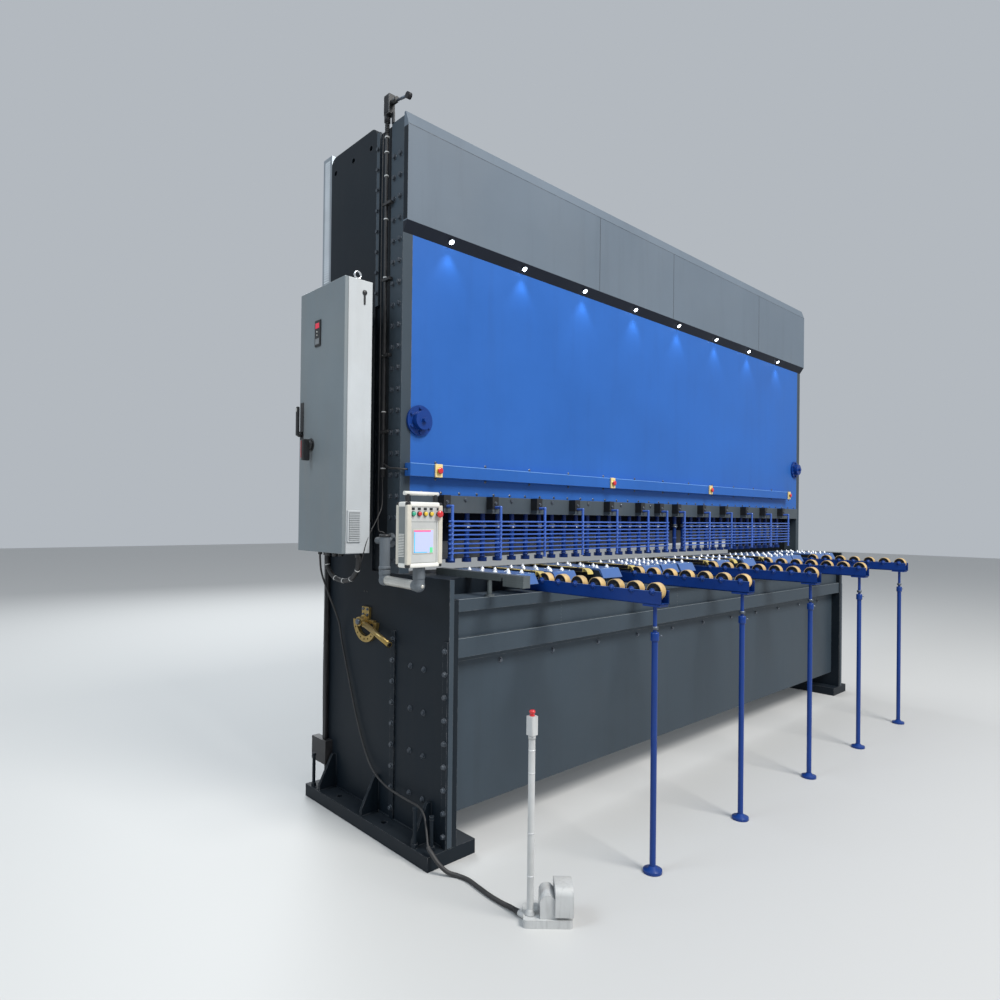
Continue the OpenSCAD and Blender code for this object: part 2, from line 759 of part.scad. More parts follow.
// Rounded plate lying on its lower face, centred on the origin
module slab(l, w, r, h) {
    linear_extrude(h) union() {
        translate([-l / 2 + r, -w / 2]) square([l - 2 * r, w]);
        translate([-l / 2, -w / 2 + r]) square([l, w - 2 * r]);
        for (x = [-1, 1]) for (y = [-1, 1]) translate([x * (l / 2 - r), y * (w / 2 - r)]) circle(r);
    }
}

// Section of the pedal's hood, drawn in its own width and height
module hood_section(wall) {
    w = pedal_w / 2 - wall;
    r = hood_r - wall;
    top = hood_z[1] - wall;
    union() {
        translate([-w, hood_z[0] - wall]) square([2 * w, top - hood_r - hood_z[0] + wall + wall]);
        translate([-w + r, hood_z[0] - wall]) square([2 * (w - r), top - hood_z[0] + wall]);
        for (x = [-1, 1]) translate([x * (w - r), top - r]) circle(r);
    }
}

// Puts a piece where the foot pedal stands, turned with it
module at_pedal() { placed() translate([pedal_at[0], pedal_at[1], 0]) rotate([0, 0, pedal_turn]) children(); }

module pedal_base() {
    color("#e8e8e6") {
        at_pedal() {
            slab(pedal_l, pedal_w, pedal_r, pedal_t);
            translate([0, works_w / 2, 0]) rotate([90, 0, 0]) linear_extrude(works_w) union() {
                translate([works_x[0], pedal_t - 1]) square([works_x[1] - works_x[0], works_z - pedal_t + 1]);
                translate([(works_x[0] + works_x[1]) / 2, works_z]) circle((works_x[1] - works_x[0]) / 2);
            }
            difference() {
                along_x(hood_x[0], hood_x[1] - hood_x[0]) hood_section(0);
                along_x(hood_x[0] + hood_wall, hood_x[1] - hood_x[0]) hood_section(hood_wall);
            }
            translate([0, works_w / 2 - 8, 0]) rotate([90, 0, 0]) linear_extrude(works_w - 16) polygon(treadle);
        }
        placed() rod_along_y([gland_x, gland_y[0], pedal_t / 2], gland_d, gland_y[1] - gland_y[0]);
    }
}

module pedal_post() {
    color("#e8e8e6") at_pedal() translate([stand_at[0], stand_at[1], pedal_t]) {
        cylinder(d = stand_d, h = stand_h);
        translate([0, 0, stand_h - 1]) rotate([0, 0, -pedal_turn]) slab(head_w, head_w, 6, head_h);
    }
}

module pedal_stop_button() {
    color("#c8202a") at_pedal() translate([stand_at[0], stand_at[1], pedal_t + stand_h + head_h - 1]) {
        cylinder(d = head_cap_d - 8, h = head_neck + 1);
        translate([0, 0, head_neck]) cylinder(d = head_cap_d, h = head_cap_h);
    }
}

// Direction of the swept cable at a point, and the ring of points round it
function unit(v) = v / norm(v);
function run(p, i) = unit(p[min(i + 1, len(p) - 1)] - p[max(i - 1, 0)]);
function side(t) = unit(cross(t, abs(t[2]) > 0.9 ? [0, 1, 0] : [0, 0, 1]));
function ring(c, t, d, n) = [for (k = [0 : n - 1])
    c + (d / 2) * (cos(360 * k / n) * side(t) + sin(360 * k / n) * cross(side(t), t))];

// Smooth curve through the route's points
function blend(a, b, c, d, u) = 0.5 * ((2 * b) + (c - a) * u + (2 * a - 5 * b + 4 * c - d) * u * u
    + (3 * b - a - 3 * c + d) * u * u * u);
function smooth(p, m) = concat([for (i = [0 : len(p) - 2]) for (s = [0 : m - 1])
    blend(p[max(i - 1, 0)], p[i], p[i + 1], p[min(i + 2, len(p) - 1)], s / m)], [p[len(p) - 1]]);

module swept(p, d, n, wide_d = 0, wide_from = 9999) {
    pts = [for (i = [0 : len(p) - 1]) each ring(p[i], run(p, i), i < wide_from ? d : wide_d, n)];
    walls = [for (i = [0 : len(p) - 2]) for (k = [0 : n - 1])
        [i * n + k, i * n + (k + 1) % n, (i + 1) * n + (k + 1) % n, (i + 1) * n + k]];
    ends = [[for (k = [n - 1 : -1 : 0]) k], [for (k = [0 : n - 1]) (len(p) - 1) * n + k]];
    polyhedron(pts, concat(walls, ends), 4);
}

module pedal_cable() { placed() color("#26282a") swept(smooth(cable_path, 2), cable_d, 8, sleeve_d, sleeve_from); }
module cabinet_cable() { placed() color("#1d1f21") swept(smooth(loop_path, 2), loop_d, 10); }

side_frame_left();
side_frame_right();
base_plate_left();
base_plate_right();
guide_post_left();
guide_post_right();
fascia_cover();
fascia_lamps();
top_cover();
rear_panel();
rear_cross_beam();
front_panel();
guide_housings();
emergency_stop_rail();
emergency_stop_boxes();
emergency_stop_buttons();
hold_down_beam();
hold_down_rods();
guard_left();
guard_right();
front_ledge();
front_band();
front_apron();
table_bed();
lower_blade();
ram();
upper_blade();
ram_cylinders();
squaring_arm();
arm_channel_1();
arm_channel_2();
arm_channel_3();
arm_channel_4();
arm_channel_5();
arm_wheels();
arm_axles();
arm_legs();
ball_plates();
ball_units();
slide_strips();
cabinet_body();
cabinet_door();
isolator_knob();
door_handle();
panel_bracket();
panel_arm();
control_panel();
gap_quadrant();
gap_lever();
limit_switch();
rear_cable_tray();
side_conduits();
cabinet_cable();
cabinet_eye();
arm_elbows();
pedal_base();
pedal_post();
pedal_stop_button();
pedal_cable();
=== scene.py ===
"""Looks of a hydraulic guillotine shear: paint, metal, plastics, bolts, cables and small fittings.

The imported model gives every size. Lengths are in metres in the model's own frame: X along the blades,
Y from the operator to the rear and Z up from the floor.
"""

import logging
import math
from dataclasses import dataclass
from enum import Enum
from typing import Callable, Iterable, Optional, Sequence

import bmesh
import bpy
from mathutils import Euler, Matrix, Vector


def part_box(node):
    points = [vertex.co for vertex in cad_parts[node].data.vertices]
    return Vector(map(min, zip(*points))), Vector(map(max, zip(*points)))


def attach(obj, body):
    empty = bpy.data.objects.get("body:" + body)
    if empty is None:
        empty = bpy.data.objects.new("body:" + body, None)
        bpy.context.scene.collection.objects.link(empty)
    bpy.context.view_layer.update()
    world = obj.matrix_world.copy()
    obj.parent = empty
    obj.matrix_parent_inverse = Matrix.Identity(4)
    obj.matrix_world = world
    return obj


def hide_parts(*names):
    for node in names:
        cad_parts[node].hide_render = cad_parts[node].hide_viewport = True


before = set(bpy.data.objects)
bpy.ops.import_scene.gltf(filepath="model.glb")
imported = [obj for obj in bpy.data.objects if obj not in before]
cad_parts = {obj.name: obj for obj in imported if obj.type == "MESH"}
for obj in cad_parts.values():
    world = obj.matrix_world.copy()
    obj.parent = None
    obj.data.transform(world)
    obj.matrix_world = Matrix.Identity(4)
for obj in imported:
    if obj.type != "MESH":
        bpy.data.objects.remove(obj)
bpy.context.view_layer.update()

log = logging.getLogger("shear")
logging.basicConfig(level=logging.INFO, format="%(message)s")

Color = tuple[float, float, float]
Point = tuple[float, float, float]

MID = Vector((2.0015, 0.224, 0.0))
FRAME_W = 4.2
STOP_X = (0.181, 1.492, 2.622, 3.894)


def at(x: float, y: float, z: float) -> Vector:
    """A point of the machine, measured from the left side plate's front foot, in the model's frame."""
    return Vector((x, y, z)) - MID


class Head(Enum):
    """The kinds of fastener head."""

    HEX = "hex"
    DOME = "dome"
    SOCKET = "socket"


class Facing(Enum):
    """The way a fastener or fitting points, as an Euler turn of a part made along +Z."""

    FRONT = (math.radians(90), 0.0, 0.0)
    REAR = (math.radians(-90), 0.0, 0.0)
    LEFT = (0.0, math.radians(-90), 0.0)
    RIGHT = (0.0, math.radians(90), 0.0)
    UP = (0.0, 0.0, 0.0)


class NodeTree:
    """Short calls for filling a node tree."""

    def __init__(self, tree: bpy.types.NodeTree) -> None:
        """Wraps a tree that the caller made."""
        self.tree = tree

    def add(self, kind: str, **settings: object) -> bpy.types.Node:
        """Adds a node.

        Args:
            kind: the node's type name.
            settings: attributes to set on it.

        Returns:
            The new node.
        """
        node = self.tree.nodes.new(kind)
        for name, value in settings.items():
            setattr(node, name, value)
        return node

    def link(self, a: bpy.types.NodeSocket, b: bpy.types.NodeSocket) -> None:
        """Joins an output to an input."""
        self.tree.links.new(a, b)

    def math(self, operation: str, a: object, b: object = None, clamp: bool = False) -> bpy.types.NodeSocket:
        """A maths node.

        Args:
            operation: the name of the operation.
            a: a socket or a number.
            b: a second socket or number, where the operation takes one.
            clamp: whether the result is held between 0 and 1.

        Returns:
            The result's socket.
        """
        node = self.add("ShaderNodeMath", operation=operation, use_clamp=clamp)
        for i, value in enumerate((a, b)):
            if value is None:
                continue
            if isinstance(value, (int, float)):
                node.inputs[i].default_value = value
            else:
                self.link(value, node.inputs[i])
        return node.outputs[0]

    def ramp(self, value: bpy.types.NodeSocket, low: float, high: float) -> bpy.types.NodeSocket:
        """Maps a value from low..high onto 0..1, held within that.

        Args:
            value: the socket to map.
            low: the value that gives 0.
            high: the value that gives 1.

        Returns:
            The mapped socket.
        """
        node = self.add("ShaderNodeMapRange", clamp=True)
        node.inputs["From Min"].default_value = low
        node.inputs["From Max"].default_value = high
        self.link(value, node.inputs["Value"])
        return node.outputs["Result"]

    def noise(self, vector: bpy.types.NodeSocket, scale: object, detail: float = 4.0,
              roughness: float = 0.55) -> bpy.types.NodeSocket:
        """A noise texture's value.

        Args:
            vector: the place to read it at.
            scale: a number, or a socket that gives it.
            detail: the number of octaves.
            roughness: how strong the fine octaves are.

        Returns:
            The noise value's socket.
        """
        node = self.add("ShaderNodeTexNoise")
        node.inputs["Detail"].default_value = detail
        node.inputs["Roughness"].default_value = roughness
        if isinstance(scale, (int, float)):
            node.inputs["Scale"].default_value = scale
        else:
            self.link(scale, node.inputs["Scale"])
        self.link(vector, node.inputs["Vector"])
        return node.outputs["Fac"]

    def mix_color(self, mask: object, a: object, b: object) -> bpy.types.NodeSocket:
        """Mixes two colours.

        Args:
            mask: a socket or number, 0 for the first colour and 1 for the second.
            a: the first colour, a socket or three numbers.
            b: the second colour, a socket or three numbers.

        Returns:
            The mixed colour's socket.
        """
        node = self.add("ShaderNodeMix", data_type="RGBA")
        for socket, value in ((node.inputs[0], mask), (node.inputs[6], a), (node.inputs[7], b)):
            if isinstance(value, (int, float)):
                socket.default_value = value
            elif isinstance(value, (tuple, list)):
                socket.default_value = (*value[:3], 1.0)
            else:
                self.link(value, socket)
        return node.outputs[2]


def new_group(name: str, inputs: dict[str, tuple[str, object]], outputs: dict[str, str]) -> tuple[
        bpy.types.NodeTree, NodeTree, bpy.types.Node, bpy.types.Node]:
    """Makes an empty shader group with named sockets.

    Args:
        name: the group's name.
        inputs: socket name to its type and default value.
        outputs: socket name to its type.

    Returns:
        The group, its wrapper, and its input and output nodes.
    """
    group = bpy.data.node_groups.new(name, "ShaderNodeTree")
    for label, (kind, value) in inputs.items():
        socket = group.interface.new_socket(label, in_out="INPUT", socket_type=kind)
        if value is not None:
            socket.default_value = value
    for label, kind in outputs.items():
        group.interface.new_socket(label, in_out="OUTPUT", socket_type=kind)
    n = NodeTree(group)
    return group, n, n.add("NodeGroupInput"), n.add("NodeGroupOutput")


FLOAT, COLOR, VECTOR = "NodeSocketFloat", "NodeSocketColor", "NodeSocketVector"


def worn_edges_group() -> bpy.types.NodeTree:
    """The group that finds rubbed edges.

    Returns:
        A group with a radius and an amount, giving a mask that is 1 on worn edges.
    """
    group, n, gin, gout = new_group("WornEdges", {"Vector": (VECTOR, None), "Radius": (FLOAT, 0.003),
                                                  "Amount": (FLOAT, 0.5)}, {"Mask": FLOAT})
    bevel = n.add("ShaderNodeBevel", samples=6)
    n.link(gin.outputs["Radius"], bevel.inputs["Radius"])
    geometry = n.add("ShaderNodeNewGeometry")
    dot = n.add("ShaderNodeVectorMath", operation="DOT_PRODUCT")
    n.link(bevel.outputs[0], dot.inputs[0])
    n.link(geometry.outputs["Normal"], dot.inputs[1])
    edge = n.math("SUBTRACT", 1.0, dot.outputs["Value"], clamp=True)
    patches = n.noise(gin.outputs["Vector"], 34.0, 6.0, 0.7)
    broken = n.ramp(patches, 0.42, 0.66)
    strong = n.math("MULTIPLY", edge, 7.0)
    mask = n.math("MULTIPLY", n.math("MULTIPLY", strong, broken), gin.outputs["Amount"], clamp=True)
    n.link(mask, gout.inputs["Mask"])
    return group


def grime_group() -> bpy.types.NodeTree:
    """The group that lays dust and streaks on a surface.

    Returns:
        A group with an amount and a scale, giving a dust mask, a stain mask and a fine grain.
    """
    group, n, gin, gout = new_group(
        "Grime", {"Vector": (VECTOR, None), "Amount": (FLOAT, 0.4), "Scale": (FLOAT, 1.0)},
        {"Dust": FLOAT, "Stain": FLOAT, "Grain": FLOAT})
    place = n.add("ShaderNodeVectorMath", operation="SCALE")
    n.link(gin.outputs["Vector"], place.inputs[0])
    n.link(gin.outputs["Scale"], place.inputs["Scale"])
    cloud = n.noise(place.outputs[0], 2.2, 6.0, 0.62)
    stretch = n.add("ShaderNodeMapping")
    stretch.inputs["Scale"].default_value = (7.0, 7.0, 0.55)
    n.link(place.outputs[0], stretch.inputs["Vector"])
    streak = n.noise(stretch.outputs[0], 2.0, 5.0, 0.6)
    geometry = n.add("ShaderNodeNewGeometry")
    split = n.add("ShaderNodeSeparateXYZ")
    n.link(geometry.outputs["Normal"], split.inputs[0])
    upward = n.ramp(split.outputs["Z"], 0.2, 0.95)
    lying = n.math("MULTIPLY", upward, n.ramp(cloud, 0.3, 0.62))
    haze = n.math("MULTIPLY", n.ramp(cloud, 0.44, 0.72), 0.35)
    dust = n.math("MULTIPLY", n.math("MAXIMUM", lying, haze), gin.outputs["Amount"], clamp=True)
    stain = n.math("MULTIPLY", n.ramp(streak, 0.5, 0.78), gin.outputs["Amount"], clamp=True)
    grain = n.noise(place.outputs[0], 420.0, 3.0, 0.6)
    n.link(dust, gout.inputs["Dust"])
    n.link(stain, gout.inputs["Stain"])
    n.link(grain, gout.inputs["Grain"])
    return group


def brushed_group() -> bpy.types.NodeTree:
    """The group that draws fine grinding lines.

    Returns:
        A group with the lines' direction as a scale vector, giving a line value.
    """
    group, n, gin, gout = new_group("GroundLines", {"Vector": (VECTOR, None), "Run": (VECTOR, (2.0, 300.0, 300.0))},
                                    {"Lines": FLOAT})
    mapping = n.add("ShaderNodeVectorMath", operation="MULTIPLY")
    n.link(gin.outputs["Vector"], mapping.inputs[0])
    n.link(gin.outputs["Run"], mapping.inputs[1])
    n.link(n.noise(mapping.outputs[0], 1.0, 3.0, 0.6), gout.inputs["Lines"])
    return group


class Effects:
    """The shared shader groups, each built once."""

    _made: dict[str, bpy.types.NodeTree] = {}
    _makers: dict[str, Callable[[], bpy.types.NodeTree]] = {
        "edges": worn_edges_group, "grime": grime_group, "lines": brushed_group}

    @classmethod
    def place(cls, n: NodeTree, kind: str, vector: bpy.types.NodeSocket, **values: object) -> bpy.types.Node:
        """Puts a group in a material.

        Args:
            n: the material's tree.
            kind: which effect.
            vector: the place to read it at.
            values: the group's own inputs by name.

        Returns:
            The group node.
        """
        if kind not in cls._made:
            cls._made[kind] = cls._makers[kind]()
        node = n.add("ShaderNodeGroup", node_tree=cls._made[kind])
        n.link(vector, node.inputs["Vector"])
        for name, value in values.items():
            node.inputs[name].default_value = value
        return node


@dataclass(frozen=True)
class Finish:
    """A surface finish, made into a material on first use."""

    name: str
    color: Color
    roughness: float = 0.45
    metallic: float = 0.0
    under: Color = (0.30, 0.30, 0.31)
    wear: float = 0.4
    wear_radius: float = 0.003
    dirt: float = 0.35
    dust_color: Color = (0.30, 0.29, 0.27)
    stain_color: Color = (0.02, 0.02, 0.022)
    tone: float = 0.12
    bump: float = 0.08
    lines: float = 0.0
    run: Point = (2.0, 300.0, 300.0)
    coat: float = 0.0
    glow: float = 0.0
    scale: float = 1.0
    shine: float = 0.5
    # The last two fields paint shade: below this height, in object Z, the colour turns to the dark shade colour. This
    # stands for shade on faces that turn down away from the light.
    shade_below_z: float = 0.0
    shade_color: Color = (0.0, 0.0, 0.0)

    def material(self) -> bpy.types.Material:
        """Builds the material, or gives the one that was built.

        Returns:
            The material.
        """
        known = bpy.data.materials.get(self.name)
        if known:
            return known
        made = bpy.data.materials.new(self.name)
        made.use_nodes = True
        made.diffuse_color = (*self.color, 1.0)
        n = NodeTree(made.node_tree)
        shader = made.node_tree.nodes["Principled BSDF"]
        place = n.add("ShaderNodeTexCoord").outputs["Object"]
        grime = Effects.place(n, "grime", place, Amount=self.dirt, Scale=self.scale)
        edges = Effects.place(n, "edges", place, Radius=self.wear_radius, Amount=self.wear)
        broad = n.ramp(n.noise(place, 1.3 * self.scale, 5.0, 0.6), 0.3, 0.7)
        dark = tuple(c * (1 - self.tone) for c in self.color)
        light = tuple(min(1.0, c * (1 + self.tone)) for c in self.color)
        base = n.mix_color(broad, dark, light)
        lines = None
        if self.lines:
            lines = Effects.place(n, "lines", place, Run=self.run).outputs["Lines"]
            shade = tuple(c * (1 - self.lines * 0.5) for c in self.color)
            base = n.mix_color(n.ramp(lines, 0.3, 0.7), shade, base)
        stained = n.mix_color(n.math("MULTIPLY", grime.outputs["Stain"], 0.45), base, self.stain_color)
        dusted = n.mix_color(n.math("MULTIPLY", grime.outputs["Dust"], 0.6), stained, self.dust_color)
        worn = n.mix_color(edges.outputs["Mask"], dusted, self.under)
        # Painted shade: below the given height the colour is mixed to the dark shade colour.
        if self.shade_below_z:
            split = n.add("ShaderNodeSeparateXYZ")
            n.link(place, split.inputs[0])
            worn = n.mix_color(n.math("LESS_THAN", split.outputs["Z"], self.shade_below_z), worn, self.shade_color)
        n.link(worn, shader.inputs["Base Color"])
        rough = n.math("ADD", self.roughness - 0.06, n.math("MULTIPLY", broad, 0.12))
        rough = n.math("ADD", rough, n.math("MULTIPLY", grime.outputs["Dust"], 0.3), clamp=True)
        n.link(rough, shader.inputs["Roughness"])
        if self.metallic or self.wear > 0.3:
            bare = n.math("ADD", self.metallic, n.math("MULTIPLY", edges.outputs["Mask"], 0.6), clamp=True)
            n.link(bare, shader.inputs["Metallic"])
        shader.inputs["Specular IOR Level"].default_value = self.shine
        if self.coat:
            shader.inputs["Coat Weight"].default_value = self.coat
            shader.inputs["Coat Roughness"].default_value = 0.12
        if self.glow:
            shader.inputs["Emission Color"].default_value = (*self.color, 1.0)
            shader.inputs["Emission Strength"].default_value = self.glow
        height = n.math("MULTIPLY", grime.outputs["Grain"], 1.0)
        if lines is not None:
            height = n.math("ADD", height, lines)
        bump = n.add("ShaderNodeBump")
        bump.inputs["Strength"].default_value = self.bump
        bump.inputs["Distance"].default_value = 0.0006
        n.link(height, bump.inputs["Height"])
        n.link(bump.outputs["Normal"], shader.inputs["Normal"])
        return made


# Painted shade: the frame's paint, darkened well below the edge paint of the front faces to stand for the shade on the
# side plates.
FRAME_SHADE_PAINT = Finish("FrameShadePaint", (0.005, 0.010, 0.016), 0.5, wear=0.3, dirt=0.4, dust_color=(0.06, 0.065, 0.07),
                     shine=0.2)
EDGE_PAINT = Finish("EdgePaint", (0.040, 0.057, 0.074), 0.45, wear=0.3, dirt=0.3, dust_color=(0.12, 0.13, 0.14),
                    shine=0.25)
# Painted shade: the fascia's lower lip, below z 2.7465, is painted near black because the downward slope gets no
# light.
FASCIA_PAINT = Finish("FasciaPaint", (0.120, 0.152, 0.190), 0.5, wear=0.2, dirt=0.2, tone=0.06, shine=0.3,
                      shade_below_z=2.7465, shade_color=(0.004, 0.008, 0.018))
PANEL_BLUE = Finish("PanelBlue", (0.024, 0.115, 0.41), 0.42, wear=0.15, dirt=0.15, tone=0.08,
                    dust_color=(0.06, 0.18, 0.45), shine=0.2)
GUARD_BLUE = Finish("GuardBlue", (0.045, 0.13, 0.50), 0.3, wear=0.15, dirt=0.15, coat=0.3, scale=4.0)
ARM_BLUE = Finish("ArmBlue", (0.002, 0.035, 0.21), 0.38, wear=0.35, dirt=0.2, coat=0.15, wear_radius=0.002,
                  under=(0.05, 0.13, 0.34), dust_color=(0.05, 0.10, 0.26), scale=3.0, shine=0.3)
RAM_BLUE = Finish("RamBlue", (0.002, 0.004, 0.016), 0.6, wear=0.2, dirt=0.2, dust_color=(0.02, 0.025, 0.03),
                  shine=0.15)
PLATE_BLUE = Finish("PlateBlue", (0.045, 0.125, 0.36), 0.3, wear=0.4, dirt=0.3, coat=0.2, scale=3.0)
BEAM_PAINT = Finish("BeamPaint", (0.060, 0.078, 0.095), 0.45, wear=0.4, dirt=0.35, shine=0.3)
BLADE_STEEL = Finish("BladeSteel", (0.20, 0.205, 0.21), 0.4, 0.9, wear=0.1, dirt=0.2, lines=0.4)
BAR_STEEL = Finish("BarSteel", (0.20, 0.23, 0.235), 0.42, 0.75, wear=0.6, under=(0.5, 0.5, 0.5), lines=0.35,
                   run=(300.0, 2.0, 300.0), dirt=0.5)
BOLT_STEEL = Finish("BoltSteel", (0.10, 0.12, 0.15), 0.36, 0.6, wear=0.5, dirt=0.3, scale=6.0)
FRAME_BOLT = Finish("FrameBolt", (0.030, 0.042, 0.058), 0.4, 0.15, wear=0.5, under=(0.20, 0.22, 0.25), dirt=0.3,
                    scale=6.0)
BRIGHT = Finish("BrightPlate", (0.74, 0.76, 0.78), 0.22, 0.85, wear=0.05, dirt=0.3, scale=5.0)
BALL_PALE = Finish("BallPale", (0.72, 0.75, 0.78), 0.3, 0.25, wear=0.1, dirt=0.3, scale=6.0)
TREAD = Finish("TreadYellow", (0.62, 0.42, 0.17), 0.5, wear=0.6, under=(0.72, 0.66, 0.5), dirt=0.5,
               wear_radius=0.002, tone=0.25, bump=0.3, scale=8.0)
HUB_DARK = Finish("HubDark", (0.010, 0.010, 0.013), 0.5, wear=0.1, dirt=0.12, scale=8.0, shine=0.3)
STRIP = Finish("StripYellow", (0.58, 0.45, 0.12), 0.42, wear=0.5, under=(0.66, 0.6, 0.4), dirt=0.55, tone=0.2,
               scale=5.0)
CABINET = Finish("CabinetGrey", (0.50, 0.53, 0.55), 0.48, wear=0.15, dirt=0.4, dust_color=(0.36, 0.32, 0.26),
                 stain_color=(0.22, 0.19, 0.16), bump=0.25)
# Painted shade: a darker copy of the cabinet grey for the door, whose face turns away from the light.
CABINET_DOOR_SHADE = Finish("CabinetDoorShadeGrey", (0.185, 0.22, 0.24), 0.5, wear=0.15, dirt=0.45,
                      dust_color=(0.36, 0.32, 0.26), stain_color=(0.22, 0.19, 0.16), bump=0.25)
BEIGE = Finish("PanelBeige", (0.62, 0.59, 0.51), 0.4, wear=0.15, dirt=0.25, scale=4.0, coat=0.15)
BEIGE_FACE = Finish("PanelFace", (0.50, 0.51, 0.50), 0.5, wear=0.1, dirt=0.15, scale=4.0)
SILVER_TUBE = Finish("ArmTube", (0.55, 0.54, 0.50), 0.32, 0.35, wear=0.2, dirt=0.3, scale=4.0)
GREY_CAST = Finish("CastElbow", (0.13, 0.15, 0.17), 0.5, 0.2, wear=0.4, dirt=0.4, scale=4.0, bump=0.4)
CREAM = Finish("BoxCream", (0.80, 0.62, 0.28), 0.4, wear=0.1, dirt=0.2, scale=6.0)
STOP_RED = Finish("StopRed", (0.60, 0.015, 0.02), 0.25, wear=0.05, dirt=0.1, coat=0.5, scale=8.0)
KEY_GREEN = Finish("KeyGreen", (0.03, 0.36, 0.22), 0.3, wear=0.05, dirt=0.1, coat=0.4, scale=8.0)
KEY_YELLOW = Finish("KeyYellow", (0.75, 0.52, 0.04), 0.3, wear=0.05, dirt=0.1, coat=0.4, scale=8.0)
BLACK = Finish("BlackPlastic", (0.014, 0.015, 0.017), 0.42, wear=0.2, under=(0.06, 0.06, 0.06), dirt=0.1, scale=6.0)
CABLE = Finish("CableBlack", (0.018, 0.018, 0.02), 0.5, wear=0.0, dirt=0.2, scale=8.0, bump=0.2)
LAMP = Finish("LampLens", (0.85, 0.93, 1.0), 0.2, wear=0.0, dirt=0.0, glow=9.0, scale=6.0)
ZINC = Finish("YellowZinc", (0.46, 0.32, 0.10), 0.34, 0.85, wear=0.3, under=(0.6, 0.55, 0.4), dirt=0.5, tone=0.3,
              lines=0.3, run=(60.0, 60.0, 60.0), scale=5.0)
PEDAL_WHITE = Finish("PedalWhite", (0.52, 0.53, 0.53), 0.42, wear=0.6, under=(0.25, 0.25, 0.25), dirt=0.6,
                     dust_color=(0.42, 0.40, 0.36), scale=5.0)
TRAY = Finish("TrayZinc", (0.34, 0.38, 0.42), 0.4, 0.8, wear=0.3, dirt=0.4, scale=3.0)
RED_DISPLAY = Finish("RedDisplay", (0.55, 0.02, 0.05), 0.3, wear=0.0, dirt=0.0, glow=0.5, scale=8.0)
SCREEN_BLUE = Finish("ScreenBlue", (0.46, 0.50, 0.90), 0.15, wear=0.0, dirt=0.0, glow=0.25, tone=0.03, bump=0.0)
SCREEN_CYAN = Finish("ScreenCyan", (0.10, 0.45, 0.75), 0.15, wear=0.0, dirt=0.0, glow=0.45, tone=0.03, bump=0.0)
SCREEN_RED = Finish("ScreenRed", (0.70, 0.10, 0.25), 0.15, wear=0.0, dirt=0.0, glow=0.45, tone=0.03, bump=0.0)
SCREEN_GREEN = Finish("ScreenGreen", (0.12, 0.55, 0.25), 0.15, wear=0.0, dirt=0.0, glow=0.45, tone=0.03, bump=0.0)
# Painted highlight: a lighter copy of the panel blue for the rail's top edge.
RAIL_TOP_HIGHLIGHT = Finish("RailTopHighlight", (0.16, 0.36, 0.75), 0.35, wear=0.2, dirt=0.15)
# A pale grey with heavy edge wear. It serves as painted highlights along the ledge's and band's top edges, and for the
# web's seams.
PALE_EDGE = Finish("PaleEdge", (0.16, 0.19, 0.21), 0.38, wear=0.8, under=(0.42, 0.44, 0.45), dirt=0.3,
                   wear_radius=0.002)
# Painted highlight: a lighter copy of the plate blue for the plates' folded rims and folds.
PLATE_RIM_HIGHLIGHT = Finish("PlateRimHighlight", (0.17, 0.33, 0.62), 0.3, wear=0.5, dirt=0.2, scale=4.0)
# Painted highlight: a lighter copy of the arm blue for the channels' front end faces and top edges.
ARM_EDGE_HIGHLIGHT = Finish("ArmEdgeHighlight", (0.05, 0.16, 0.52), 0.3, wear=0.5, dirt=0.2, scale=4.0)
VENT_SHADE = Finish("VentShade", (0.22, 0.235, 0.245), 0.6, wear=0.0, dirt=0.5, scale=6.0)
WHITE_TRIM = Finish("WhiteTrim", (0.80, 0.79, 0.74), 0.3, wear=0.2, dirt=0.15, coat=0.3, scale=4.0)
SIDE_GREY = Finish("SideGrey", (0.20, 0.22, 0.22), 0.45, wear=0.1, dirt=0.2, scale=4.0)
FILM = Finish("FilmEdge", (0.62, 0.63, 0.64), 0.2, wear=0.0, dirt=0.5, coat=0.4, scale=6.0)
SLOT_LIGHT = Finish("SlotLight", (0.78, 0.82, 0.85), 0.5, wear=0.0, dirt=0.1, scale=6.0)
TIE_WHITE = Finish("TieWhite", (0.70, 0.71, 0.70), 0.35, wear=0.0, dirt=0.2, scale=8.0)

